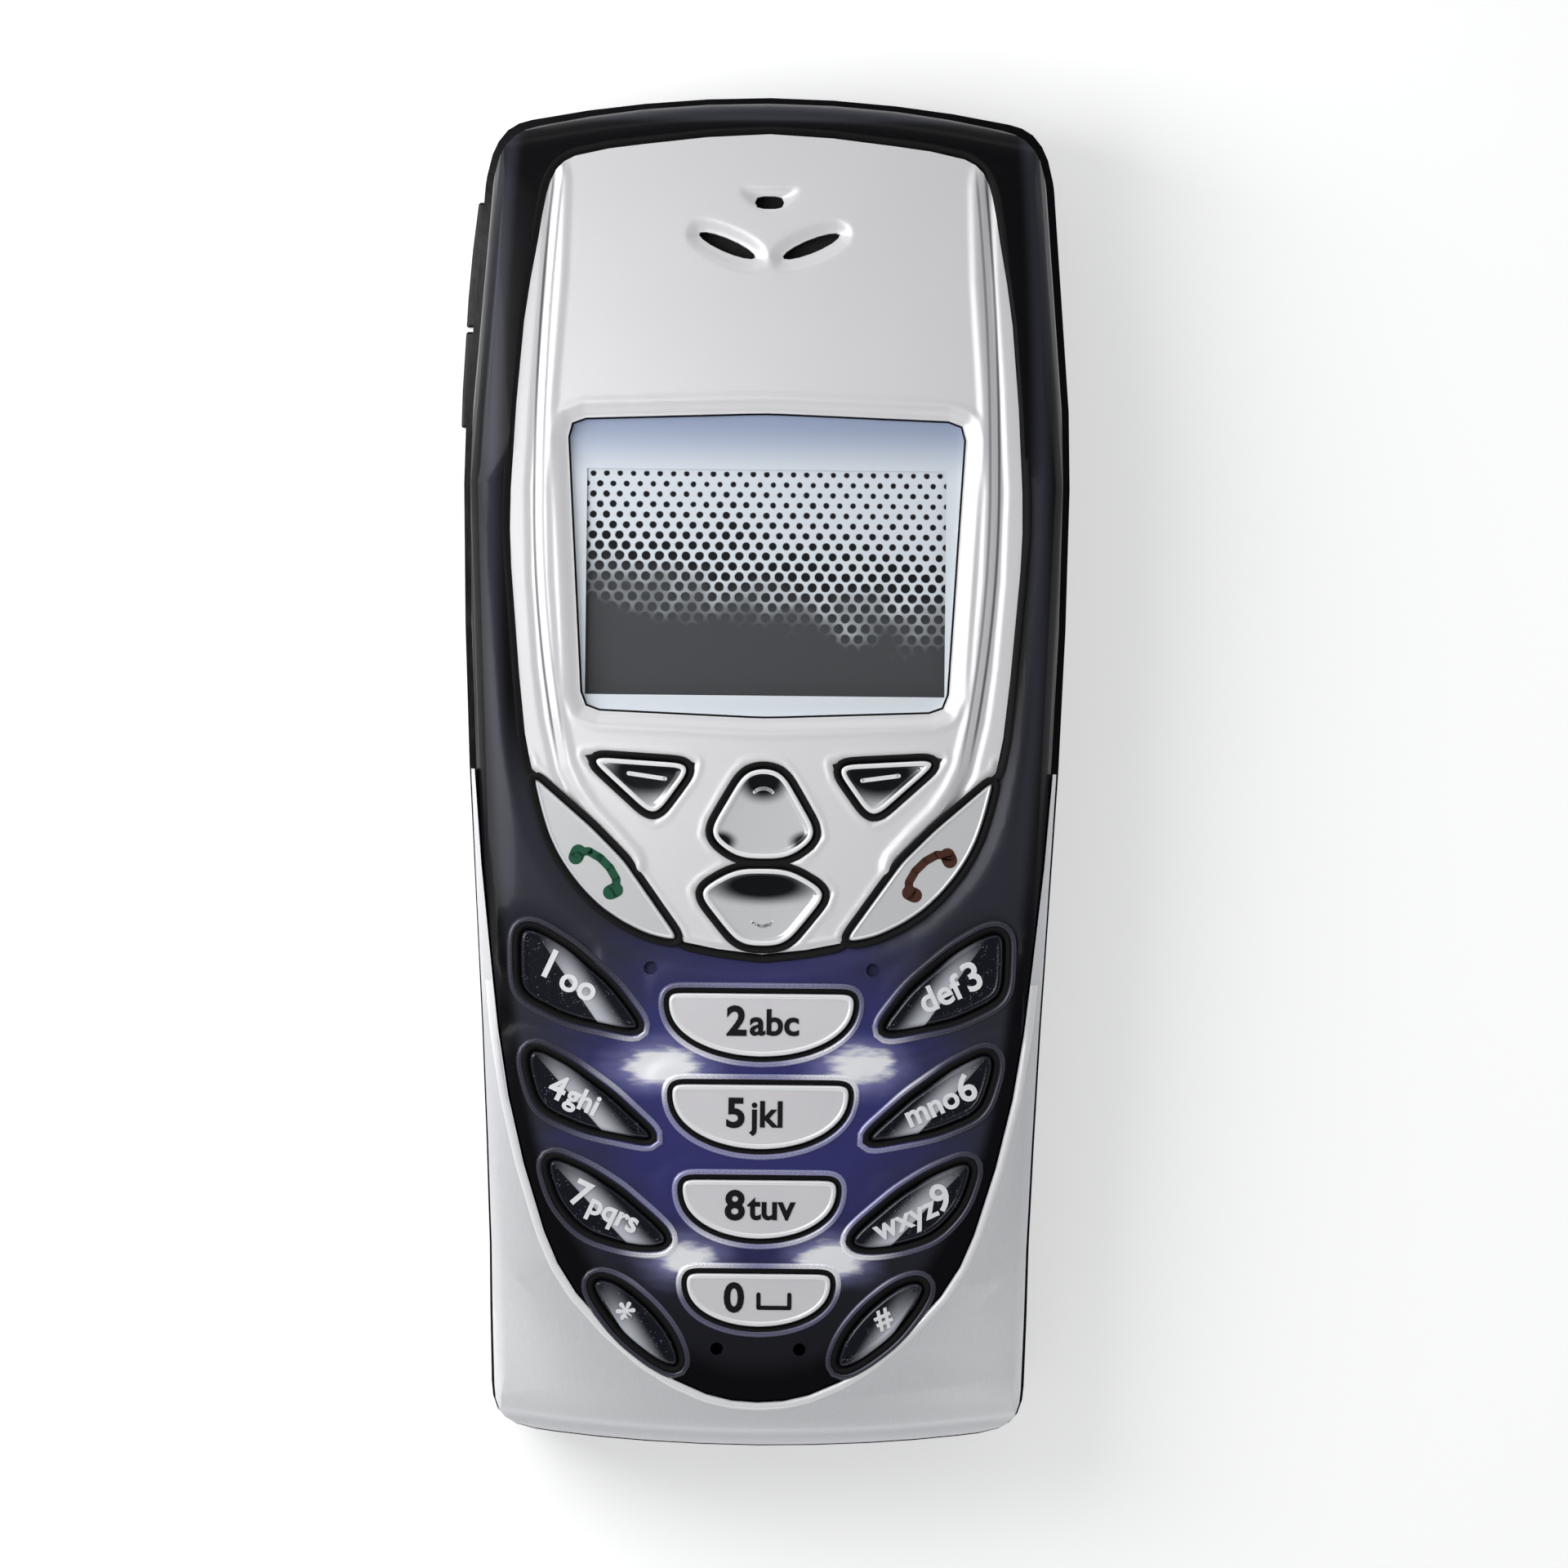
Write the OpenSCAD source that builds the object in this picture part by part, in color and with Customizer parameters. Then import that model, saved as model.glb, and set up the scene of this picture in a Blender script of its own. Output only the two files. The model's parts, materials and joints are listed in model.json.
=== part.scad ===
// Feature phone, lying on its back.
// +X is the phone's right, +Y its top end, and +Z comes out of the front face.
// The origin is at the middle of the back face.

/* [Body] */
// Length of the body
body_l = 97; // [93:0.5:104]
// Greatest width of the body
body_w = 43.6; // [42.4:0.2:48]
// Thickness at the middle of the body
body_t = 18; // [17.6:0.2:21]
// Radius of the crown along the front face
crown_r = 380; // [340:10:600]
// Radius of the curve across the top end
top_end_r = 85; // [80:1:100]
// Radius of the curve across the bottom end
low_end_r = 124; // [115:1:150]
// Radius along the edges of the back
back_edge_r = 5; // [4:0.25:5.5]
// Radius along the edges of the front
front_edge_r = 2; // [1.5:0.1:2.4]

/* [Rear housing] */
// Wall of the rear housing
wall = 1.5; // [1.2:0.1:1.8]
// Rim of the rear housing that shows round the lower cover
rim_w = 0.35; // [0.2:0.05:0.4]
// Seam between the fixed back and the battery cover, along Y
seam_y = 20; // [19.4:0.1:21.4]
// Height of the battery cover's upper edge
seam_z = 4.6; // [4:0.1:5]
// Open seam between two casing pieces
seam_gap = 0.15; // [0.1:0.05:0.25]
// Thickness of the battery cover
cover_t = 1; // [0.8:0.1:1.2]
// Floor between the battery and the board
floor_t = 0.9; // [0.8:0.1:1.2]

/* [Front cover] */
// Side wall of the bezel
bezel_wall = 1.4; // [1.2:0.1:1.6]
// Front wall of the bezel round the number keys
deck_t = 1.4; // [1.2:0.1:1.6]
// Depth of the recess that takes the face plate
recess_d = 1.3; // [1.1:0.1:1.4]
// Web of the bezel under the face plate
web_t = 0.8; // [0.6:0.1:1]
// Gap round the face plate
plate_gap = 0.3; // [0.2:0.05:0.4]
// How far the side bands of the plate lie below the bezel
band_drop = 0.4; // [0.3:0.05:0.6]
// How far the raised panel of the plate lies below the bezel
panel_drop = 0.1; // [0:0.05:0.2]
// How far the display window lies below the bezel
window_drop = 0.5; // [0.3:0.05:0.6]
// Clearance round the display window
window_gap = 0.15; // [0.1:0.05:0.25]
// Layer of glue under the plate and the window
bond_t = 0.05; // [0.03:0.01:0.1]

/* [Keys] */
// Gap round every key
key_gap = 0.35; // [0.25:0.05:0.4]
// How far a number key stands above the bezel
key_proud = 0.4; // [0.2:0.05:0.6]
// How far a key on the plate stands above the bezel
pad_proud = 0.25; // [0.1:0.05:0.5]
// Travel of a front key
key_travel = 0.4; // [0.2:0.05:0.5]
// Flange of a key past its opening
key_lip = 0.35; // [0.25:0.05:0.4]
// Thickness of a key's flange
flange_t = 0.6; // [0.5:0.05:0.8]
// Gap between a flange and what stops it
flange_gap = 0.15; // [0.1:0.05:0.2]
// Radius of the post under a key
post_r = 1; // [0.8:0.1:1.1]
// Spare room under a post at full travel
post_spare = 0.1; // [0.1:0.05:0.2]
// Radius of a key dome
dome_r = 1.5; // [1.2:0.1:1.6]
// Height of a key dome
dome_h = 0.3; // [0.2:0.05:0.4]
// Radius of a key's corners
key_corner = 0.9; // [0.6:0.1:1.1]
// How far the volume keys stand out of the side
volume_proud = 0.4; // [0.2:0.05:0.5]
// Height of the volume keys along Z
volume_h = 2.6; // [2.2:0.1:2.8]
// Travel of the side and end keys
side_travel = 0.35; // [0.2:0.05:0.4]
// Width of the power key
power_w = 9; // [7:0.5:11]
// Width of the release button
release_w = 9; // [7:0.5:11]
// Length of the release button
release_l = 4; // [3:0.25:4.5]
// Travel of the release button
release_travel = 0.8; // [0.5:0.1:1]

/* [Display] */
// Width of the display panel
panel_w = 29.6; // [27:0.2:30]
// Length of the display panel
panel_l = 23.6; // [21:0.2:24.4]
// Thickness of the display panel
panel_t = 2.2; // [1.8:0.1:2.4]
// Wall of the display carrier
carrier_wall = 0.8; // [0.6:0.1:1]

/* [Board] */
// Thickness of the main board
board_t = 1; // [0.8:0.1:1.2]
// Room between the battery floor and the board
board_lift = 1.5; // [1.4:0.1:1.8]
// Clearance between the board and the housing
board_gap = 0.3; // [0.2:0.05:0.4]
// Height of the shield cans
can_h = 1.5; // [1.2:0.1:1.6]
// Radius of a screw's shank
screw_r = 0.7; // [0.6:0.05:0.8]
// Radius of a screw's head
screw_head_r = 1.5; // [1.3:0.1:1.6]

/* [Battery and card] */
// Width of the battery
battery_w = 31; // [28:0.5:31.5]
// Length of the battery
battery_l = 46; // [42:0.5:46.5]
// Thickness of the battery
battery_t = 4.8; // [4.2:0.1:5]
// Clearance round the battery
battery_gap = 0.2; // [0.15:0.05:0.3]
// Width of the subscriber card
card_w = 25; // [22:0.5:25.5]
// Length of the subscriber card
card_l = 15; // [13:0.5:15.5]
// Thickness of the subscriber card
card_t = 0.8; // [0.7:0.05:0.85]

/* [Sound and motion] */
// Radius of the earpiece
ear_r = 4; // [3.5:0.1:4.4]
// Thickness of the earpiece
ear_t = 2.3; // [1.8:0.1:2.6]
// Radius of the buzzer
buzzer_r = 4.8; // [4:0.1:5]
// Height of the buzzer
buzzer_h = 2.8; // [2.2:0.1:3.2]
// Radius of the vibration motor
motor_r = 2.2; // [1.8:0.1:2.3]
// Length of the vibration motor
motor_l = 8.5; // [7:0.5:9]
// Radius of the motor's weight
weight_r = 2.4; // [2:0.1:2.5]

/* [Charger socket] */
// Radius of the charger socket
jack_r = 1.75; // [1:0.05:1.8]
// Depth of the charger socket
jack_d = 5; // [4:0.25:5.5]

/* [Hidden] */
// Outlines, right half, from the bottom end to the top end
body_half = [
    [0, -48.5], [8, -48.25], [14.5, -47.65], [17.3, -47.1], [18.7, -46], [19.15, -44],
    [19.4, -34], [20.1, -18.5], [21.2, 0.3], [21.8, 20.5], [21.3, 34], [20.6, 41],
    [20, 44.2], [18.9, 46], [17.2, 46.75], [9, 48], [0, 48.5]];
// The outlines stretch with the body
stretch_x = body_w / 2 / max([for (q = body_half) q[0]]);
stretch_y = body_l / (body_half[len(body_half) - 1][1] - body_half[0][1]);
bezel_half = [
    [0, -44.9], [3.6, -44.35], [8, -42], [12.9, -37.2], [15.2, -32.8], [17.8, -23.2],
    [19.1, -13.8], [20.45, 0.3], [21.1, 20.5], [20.6, 34], [19.9, 41], [19.3, 43.8],
    [18.2, 45.3], [16.6, 46], [9, 47.3], [0, 47.8]];
opening_half = [
    [0, -13.3], [6.4, -12.3], [8.5, -11.8], [11.6, -10], [14, -7.4], [15.5, -4.7],
    [16.45, -1.3], [17.3, 2.5], [18.4, 14.2], [18.5, 20], [17.7, 32], [16.75, 38],
    [16.2, 41.2], [15.5, 43], [14, 44.1], [9, 45], [0, 45.8]];
panel_half = [
    [0, -15], [5, -15], [9.5, -6.2], [12.5, -3], [14.3, 0.2], [15.6, 7.3], [16.3, 20],
    [15.4, 35], [15.2, 42], [15, 47], [0, 48]];
window_half = [[0, 3.9], [12.9, 4.4], [14.1, 24.9], [0, 25.4]];
scroll_up_half = [[1.8, -6.2], [3.95, -4.55], [2.6, -2.1], [1.2, 0.2]];
scroll_down_half = [[1.6, -12.4], [4.7, -8.55], [1.9, -6.9]];

// Corners of the keys on the right side; the left ones mirror them
soft_corners = [[4.95, 0.5], [7.75, -3.4], [12.55, 0.95]];
call_corners = [
    [5.2, -13.8], [14, -14], [20, -8], [20, 3], [17.8, 0.6], [16, -0.8], [12.2, -4.1],
    [9.9, -6.4], [7.6, -9.7], [6.2, -11.6]];
row_1_corners = [
    [16.3, -11.3], [13.7, -12.8], [10.7, -15.4], [8.3, -18.6], [13.7, -17.5], [16.7, -16],
    [17.1, -15.3], [17.2, -11.3]];
row_2_corners = [
    [16.6, -19.6], [13.6, -21.1], [10.7, -23.2], [7.25, -26.4], [12.4, -25.4], [15.6, -24],
    [16.4, -21.5]];
row_3_corners = [
    [15.3, -27.4], [12.4, -28.6], [10, -30.1], [7.7, -32.1], [6.2, -33.6], [7.7, -33.9],
    [10, -33.6], [12.4, -32.8], [14.3, -30.7]];
row_4_corners = [
    [12.05, -36.1], [10, -36.6], [7.6, -38.6], [6.1, -40.6], [5.45, -42.85], [7.5, -41.8],
    [9.6, -40.1], [11.4, -37.7]];

// Middle column: half width, top and bottom of each key, and its straight flank
middle_keys = [[6.6, -15.8, -20.3], [6.3, -22.3, -26.9], [5.5, -29.1, -33.3], [5.15, -35.8, -39.6]];
flank = 0.9;

// Places of the posts under the keys
soft_post = [8.4, -0.5];
call_post = [11.2, -8.2];
row_posts = [[13.4, -15.2], [13.2, -23], [10.8, -31.3], [8.7, -39]];
scroll_posts = [[0, -3.4], [0, -9.6]];

// Places of what shows on the front
ear_y = 37 * stretch_y;
slit_y = 37.5 * stretch_y;
slit_x = 3 * stretch_x;
slit_l = 4.4;
slit_w = 1;
slit_turn = 22.8;
ear_hole = [2.06, 0.94];
ear_corner = 0.6;
ear_hole_y = 40.6 * stretch_y;
dimple = [7.9 * stretch_x, -14.05 * stretch_y];
dimple_r = 0.47;
dimple_d = 0.5;
mic_hole = [2.95 * stretch_x, -41.2 * stretch_y];
mic_hole_r = 0.45;
view_w = 26.4 * stretch_x;
view_y = [5.2 * stretch_y, 22.2 * stretch_y];

// Heights, from the back to the front
battery_z = cover_t + battery_gap;
floor_spare = 0.1;
floor_z = battery_z + battery_t + battery_gap + floor_spare;
board_z = floor_z + floor_t + board_lift;
board_top = board_z + board_t;
parting_step = 0.2;
parting_z = board_top + parting_step;
sheet_t = 0.15;
dome_z = board_top + sheet_t;
post_z = dome_z + dome_h + key_travel + post_spare;
web_d = recess_d + web_t;
reach = 2 * body_l;
over = 1;

// Points on smooth and softened outlines
round_steps = 2;
corner_steps = 2;
function unit(v) = v / norm(v);
function at(p, i) = p[(i + len(p)) % len(p)];
function blend(a, b, ta, tb, t) =
    let (s = norm(b - a))
    (1 + 2 * t) * pow(1 - t, 2) * a + t * pow(1 - t, 2) * s * ta
    + t * t * (3 - 2 * t) * b + t * t * (t - 1) * s * tb;
function smooth(p) = [
    for (i = [0 : len(p) - 1])
    for (k = [0 : round_steps - 1])
    let (from = unit(at(p, i + 1) - at(p, i - 1)))
    let (to = unit(at(p, i + 2) - p[i]))
    blend(p[i], at(p, i + 1), from, to, k / round_steps)];
function bend(a, p, b, r) =
    let (start = p + unit(a - p) * min(r, norm(a - p) * 0.45))
    let (end = p + unit(b - p) * min(r, norm(b - p) * 0.45))
    [for (k = [0 : corner_steps])
     let (t = k / corner_steps)
     pow(1 - t, 2) * start + 2 * t * (1 - t) * p + t * t * end];
function soften(p, r) = [for (i = [0 : len(p) - 1]) each bend(at(p, i - 1), p[i], at(p, i + 1), r)];
function stretched(p) = [for (q = p) [q[0] * stretch_x, q[1] * stretch_y]];
function flip(p) = [for (i = [len(p) - 1 : -1 : 0]) [-p[i][0], p[i][1]]];
function whole(half) = concat(half, [for (q = flip(half)) if (abs(q[0]) > 0.001) q]);
function outward(a, b) = let (d = unit(b - a)) [d[1], -d[0]];
function grow(p, d) = [
    for (i = [0 : len(p) - 1])
    let (n = outward(at(p, i - 1), p[i]))
    let (m = unit(n + outward(p[i], at(p, i + 1))))
    p[i] + m * d / (m * n)];
function moon(k) =
    let (w = k[0] * stretch_x)
    let (top = k[1] * stretch_y)
    let (drop = top - k[2] * stretch_y - flank)
    let (arc = [for (a = [180 : 15 : 360]) [w * cos(a), top - flank + drop * sin(a)]])
    concat(arc, bend([w, top - flank], [w, top], [0, top], flank / 2),
           bend([0, top], [-w, top], [-w, top - flank], flank / 2));
function crown_z(y) = body_t - crown_r + sqrt(crown_r * crown_r - y * y);
function span_y(p) = max([for (q = p) abs(q[1])]);
function arc_points(c, r, from, to, steps) = [
    for (k = [0 : steps])
    let (a = from + (to - from) * k / steps)
    c + r * [cos(a), sin(a)]];

body_outline = smooth(whole(stretched(body_half)));
bezel_outline = smooth(whole(stretched(bezel_half)));
opening_outline = smooth(whole(stretched(opening_half)));
plate_outline = grow(opening_outline, -plate_gap);
panel_outline = smooth(whole(stretched(panel_half)));
window_corner = 1.2;
window_outline = soften(whole(stretched(window_half)), window_corner);
soft_outline = soften(stretched(soft_corners), key_corner);
call_outline = stretched(call_corners);
scroll_up_outline = soften(whole(stretched(scroll_up_half)), key_corner);
scroll_down_outline = soften(whole(stretched(scroll_down_half)), key_corner);
row_outlines = [
    for (row = [row_1_corners, row_2_corners, row_3_corners, row_4_corners])
    soften(stretched(row), key_corner)];
middle_outlines = [for (k = middle_keys) moon(k)];
call_outlines = [call_outline, flip(call_outline)];
pad_outlines = [soft_outline, flip(soft_outline), scroll_up_outline, scroll_down_outline];
number_outlines = concat(row_outlines, [for (p = row_outlines) flip(p)], middle_outlines);
bezel_inner = grow(bezel_outline, -bezel_wall - flange_gap);

// Posts and domes of all the front keys
right_posts = stretched(concat([soft_post, call_post], row_posts));
number_posts = [for (k = middle_keys) [0, (k[1] + k[2]) / 2]];
middle_posts = stretched(concat(scroll_posts, number_posts));
key_places = concat(right_posts, flip(right_posts), middle_posts);

// Straight guides for the long edges: from the widest point down and up
widest = [body_half[9][0] * stretch_x, body_half[9][1] * stretch_y];
hip = [body_half[5][0] * stretch_x, body_half[5][1] * stretch_y];
corner = [body_half[12][0] * stretch_x, body_half[12][1] * stretch_y];
low_turn = atan((widest[0] - hip[0]) / (widest[1] - hip[1]));
high_turn = atan((corner[0] - widest[0]) / (corner[1] - widest[1]));
bulge = 0.3;
bezel_inset = (body_half[9][0] - bezel_half[8][0]) * stretch_x;
edge_steps = 5;

// Battery, contacts and card
contact_w = 14;
contact_l = 3.2;
contact_lift = 1;
battery_corner = 1.5;
card_corner = 3;
battery_y1 = seam_y - contact_l - 4 * battery_gap;
battery_y0 = battery_y1 - battery_l;
contact_y1 = battery_y1 + battery_gap + contact_l;
reader_rim = 0.5;
reader_x = card_w / 2 + reader_rim;
reader_y = card_l / 2 + reader_rim;
reader_spare = 0.1;
reader_t = board_lift - reader_spare;

// Bottom connector
connector_w = 12.6;
connector_gap = 0.2;
connector_y1 = -39.8 * stretch_y;
connector_back = 0.1;
connector_y0 = -body_l / 2 + wall + connector_back;
connector_lift = 0.4;
jack_z = (seam_z + parting_z) / 2;
jack_clear = 0.4;
pad_x = 4.6;
pad_w = 1.2;
pad_h = 1.8;
pad_sink = 0.3;

// Side and end keys, the infrared window and the release button
volume_y = [24.6 * stretch_y, 31.7 * stretch_y, 40.9 * stretch_y];
volume_below = 2;
volume_z = board_z - volume_below;
slot_gap = 0.15;
power_h = 2.4;
power_below = 1.8;
power_z = board_z - power_below;
power_inner = body_l / 2 - wall;
ir_x = [9.5 * stretch_x, 14.5 * stretch_x];
ir_h = 2.6;
end_slot_d = 2.4;
end_slot_y = power_inner - end_slot_d;
release_back = 1.7;
release_y = seam_y + wall + release_l / 2 + release_back;
release_sink = 0.25;

// Sound, motion and screws
buzzer_at = [9.5 * stretch_x, 36 * stretch_y];
motor_at = [-8.7 * stretch_x, 36 * stretch_y];
weight_gap = 0.2;
motor_z = wall + weight_r + weight_gap;
motor_seat = 0.05;
high_screw = [14 * stretch_x, 42 * stretch_y];
low_screw = [5.2 * stretch_x, -34.4 * stretch_y];
screw_places = [high_screw, [-high_screw[0], high_screw[1]], low_screw, [-low_screw[0], low_screw[1]]];
post_wall = 1.2;
screw_fit = 0.05;
screw_floor = 0.4;
head_gap = 0.3;
cradle_wall = 0.8;
cradle_end = 0.5;
sound_ring_r = 2.2;
sound_hole_r = 0.5;

// Inner step of the back's rounded edges
step_z = back_edge_r * 0.8;
step_in = back_edge_r - sqrt(pow(back_edge_r, 2) - pow(back_edge_r - wall, 2));
deck_margin = 1.2;
mesh_t = 0.3;
mesh_lap = 1;

module prism(p, low, high) {
    translate([0, 0, low]) linear_extrude(high - low) polygon(p);
}

module block(low, high) {
    translate(low) cube(high - low);
}

// All that lies below the crowned front, sunk by drop
module under_crown(drop) {
    translate([0, 0, body_t - crown_r])
        rotate([0, 90, 0])
        cylinder(r = crown_r - drop, h = reach, center = true, $fn = 720);
}

module crowned(p, low, drop) {
    intersection() {
        prism(p, low, body_t + over);
        under_crown(drop);
    }
}

// One long edge of the back, rounded, on the right side
module back_edge(turn, inset) {
    r = back_edge_r - inset;
    profile = concat(
        [[-reach, inset]],
        arc_points([-r, inset + r], r, -90, 0, edge_steps),
        [[0, 2 * body_t], [-reach, 2 * body_t]]);
    translate([widest[0] + bulge - inset, widest[1], 0])
        rotate([0, 0, -turn])
        rotate([90, 0, 0])
        linear_extrude(2 * reach, center = true) polygon(profile);
}

// One long edge of the front, rounded along the crown, on the right side
module front_edge(turn, inset) {
    r = crown_r + bulge / 2;
    profile = concat(
        [[0, -reach], [r, -reach]],
        arc_points([r - front_edge_r, -front_edge_r], front_edge_r, 0, 90, edge_steps),
        [[0, 0]]);
    translate([widest[0] + bulge - inset - widest[1] * tan(turn), 0, body_t - crown_r])
        rotate([0, 0, -turn])
        rotate([0, 90, 0])
        rotate_extrude($fn = 720) polygon(profile);
}

// The children with both their long front edges rounded
module front_rounded(turn, inset) {
    intersection() {
        intersection() {
            children();
            front_edge(turn, inset);
        }
        mirror([1, 0, 0]) front_edge(turn, inset);
    }
}

// One end with its back and front edges rounded; way is 1 for the top end
module end_edge(way, end_r, inset) {
    r = end_r + bulge / 4 - inset;
    back_r = back_edge_r - inset;
    high = crown_z(body_l / 2) + bulge / 2;
    profile = concat(
        [[0, inset]],
        arc_points([r - back_r, inset + back_r], back_r, -90, 0, edge_steps),
        arc_points([r - front_edge_r, high - front_edge_r], front_edge_r, 0, 90, edge_steps),
        [[0, high + end_r / 4]]);
    translate([0, way * (body_l / 2 - end_r), 0])
        rotate_extrude($fn = 360) polygon(profile);
}

module back_shape(inset, low, high) {
    intersection() {
        prism(grow(body_outline, -inset), low, high);
        intersection_for (turn = [low_turn, high_turn])
            intersection_for (side = [0, 1])
            mirror([side, 0, 0]) back_edge(turn, inset);
        end_edge(1, top_end_r, inset);
        end_edge(-1, low_end_r, inset);
    }
}

module end_slot(x0, x1, z, h) {
    block([x0, end_slot_y, z - h / 2], [x1, body_l, z + h / 2]);
}

module release_outline(grown) {
    x = release_w / 2 + grown;
    y = release_l / 2 + grown;
    polygon([for (q = soften([[-x, -y], [x, -y], [x, y], [-x, y]], key_corner)) q + [0, release_y]]);
}

module rear_housing() {
    color("#101013") difference() {
        union() {
            difference() {
                back_shape(0, 0, parting_z);
                block([-reach, -reach, -over], [reach, seam_y, seam_z]);
                intersection() {
                    union() {
                        prism(grow(body_outline, -wall - step_in), wall, body_t);
                        prism(grow(body_outline, -wall), step_z, body_t);
                    }
                    block([-reach, seam_y + wall, wall], [reach, reach, parting_z + over]);
                }
                prism(grow(body_outline, -wall), floor_z + floor_t, parting_z + over);
                block([-battery_w / 2 - battery_gap, battery_y0 - battery_gap, 0],
                      [battery_w / 2 + battery_gap, contact_y1 + battery_gap, floor_z]);
            }
            for (i = [0, 1])
                translate([screw_places[i][0], screw_places[i][1], wall / 2])
                cylinder(r = screw_r + post_wall, h = board_z - wall / 2, $fn = 32);
            for (i = [2, 3])
                translate([screw_places[i][0], screw_places[i][1], seam_z])
                cylinder(r = screw_r + post_wall, h = board_z - seam_z, $fn = 32);
            block([motor_at[0] - motor_l / 2 + cradle_end, motor_at[1] - motor_r - cradle_wall, wall / 2],
                  [motor_at[0] + motor_l / 2 - 2 * cradle_end, motor_at[1] + motor_r + cradle_wall,
                   motor_z - motor_r / 3]);
        }
        for (p = screw_places)
            translate([p[0], p[1], seam_z + screw_floor])
            cylinder(r = screw_r + screw_fit, h = body_t, $fn = 32);
        translate([motor_at[0], motor_at[1], motor_z])
            rotate([0, 90, 0])
            cylinder(r = motor_r + motor_seat, h = 2 * motor_l, center = true, $fn = 48);
        for (a = [0 : 60 : 300])
            translate([buzzer_at[0], buzzer_at[1], -over] + sound_ring_r * [cos(a), sin(a), 0])
            cylinder(r = sound_hole_r, h = wall + 2 * over, $fn = 24);
        translate([0, 0, -over]) linear_extrude(wall + 2 * over) release_outline(slot_gap);
        block([-contact_w / 2 - battery_gap, battery_y1, floor_z - over],
              [contact_w / 2 + battery_gap, contact_y1 + battery_gap, board_z]);
        block([-reader_x - connector_gap, -reader_y - connector_gap, floor_z - over],
              [reader_x + connector_gap, reader_y + connector_gap, board_z]);
        block([-connector_w / 2 - connector_gap, -body_l / 2 + wall, seam_z - over],
              [connector_w / 2 + connector_gap, connector_y1 + connector_gap, parting_z + over]);
        translate([0, connector_y0, jack_z]) rotate([90, 0, 0])
            cylinder(r = jack_r + jack_clear, h = 2 * wall, $fn = 48);
        for (x = [-pad_x, pad_x])
            block([x - pad_w / 2, -body_l, jack_z - pad_h / 2],
                  [x + pad_w / 2, connector_y0, jack_z + pad_h / 2]);
        block([-reach, volume_y[0] - slot_gap, volume_z - volume_h / 2 - slot_gap],
              [-body_w / 4, volume_y[2] + slot_gap, volume_z + volume_h / 2 + slot_gap]);
        end_slot(-power_w / 2 - slot_gap, power_w / 2 + slot_gap, power_z, power_h + 2 * slot_gap);
        end_slot(ir_x[0], ir_x[1], power_z, ir_h);
    }
}

module lower_cover() {
    color("#c4c6ca") difference() {
        intersection() {
            front_rounded(low_turn, rim_w)
                crowned(grow(body_outline, -rim_w), parting_z, 0);
            block([-reach, -reach, 0], [reach, 0, body_t]);
            end_edge(-1, low_end_r, rim_w);
        }
        prism(grow(bezel_outline, seam_gap), 0, body_t + over);
    }
}

module battery_cover() {
    color("#131316") difference() {
        intersection() {
            back_shape(0, 0, seam_z - seam_gap);
            block([-reach, -reach, 0], [reach, seam_y - seam_gap, body_t]);
        }
        back_shape(cover_t, cover_t, body_t);
    }
}

module openings(outlines) {
    for (p = outlines)
        prism(grow(p, key_gap), 0, body_t + over);
}

module ear_slots() {
    for (side = [-1, 1])
        translate([side * slit_x, slit_y, 0])
        rotate([0, 0, side * slit_turn])
        prism([for (a = [0 : 24 : 336]) [slit_l / 2 * cos(a), slit_w / 2 * sin(a)]], 0, body_t + over);
    x = ear_hole[0] / 2;
    y = ear_hole[1] / 2;
    translate([0, ear_hole_y, 0])
        prism(soften([[-x, -y], [x, -y], [x, y], [-x, y]], ear_corner), 0, body_t + over);
}

module front_bezel() {
    color("#2c2d3c") difference() {
        intersection() {
            front_rounded(high_turn, bezel_inset)
                front_rounded(low_turn, bezel_inset)
                crowned(bezel_outline, parting_z + seam_gap, 0);
            end_edge(1, top_end_r, bezel_inset);
        }
        crowned(grow(bezel_outline, -bezel_wall), 0, web_d);
        intersection() {
            crowned(grow(bezel_outline, -bezel_wall), 0, deck_t);
            block([-reach, -reach, 0], [reach, min([for (q = opening_outline) q[1]]) - deck_margin, body_t]);
        }
        difference() {
            prism(opening_outline, parting_z, body_t + over);
            under_crown(recess_d);
        }
        block([-view_w / 2, view_y[0], 0], [view_w / 2, view_y[1], body_t]);
        block([-ear_hole[0] - slit_x, slit_y - slit_l / 2, 0],
              [ear_hole[0] + slit_x, ear_hole_y + slit_w, body_t]);
        openings(pad_outlines);
        intersection() {
            openings(call_outlines);
            prism(opening_outline, 0, body_t + over);
        }
        openings(number_outlines);
        for (side = [-1, 1]) {
            translate([side * mic_hole[0], mic_hole[1], 0])
                cylinder(r = mic_hole_r, h = 2 * body_t, $fn = 24);
            translate([side * dimple[0], dimple[1], crown_z(dimple[1]) - dimple_d])
                cylinder(r = dimple_r, h = body_t, $fn = 24);
        }
    }
}

module face_plate() {
    color("#cfd1d4") difference() {
        union() {
            crowned(plate_outline, parting_z, band_drop);
            intersection() {
                crowned(plate_outline, parting_z, panel_drop);
                prism(panel_outline, parting_z, body_t);
            }
        }
        under_crown(recess_d - bond_t);
        prism(grow(window_outline, window_gap), 0, body_t + over);
        openings(concat(pad_outlines, call_outlines));
        ear_slots();
    }
}

module display_window() {
    color("#7d8790") difference() {
        crowned(window_outline, parting_z, window_drop);
        under_crown(recess_d - bond_t);
    }
}

module earpiece_mesh() {
    x = slit_x + slit_l / 2 + mesh_lap;
    color("#2b2b2e") difference() {
        intersection() {
            block([-x, slit_y - slit_l / 2 - over, 0], [x, ear_hole_y + slit_w + over, body_t]);
            under_crown(web_d + bond_t);
        }
        under_crown(web_d + bond_t + mesh_t);
    }
}

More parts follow.
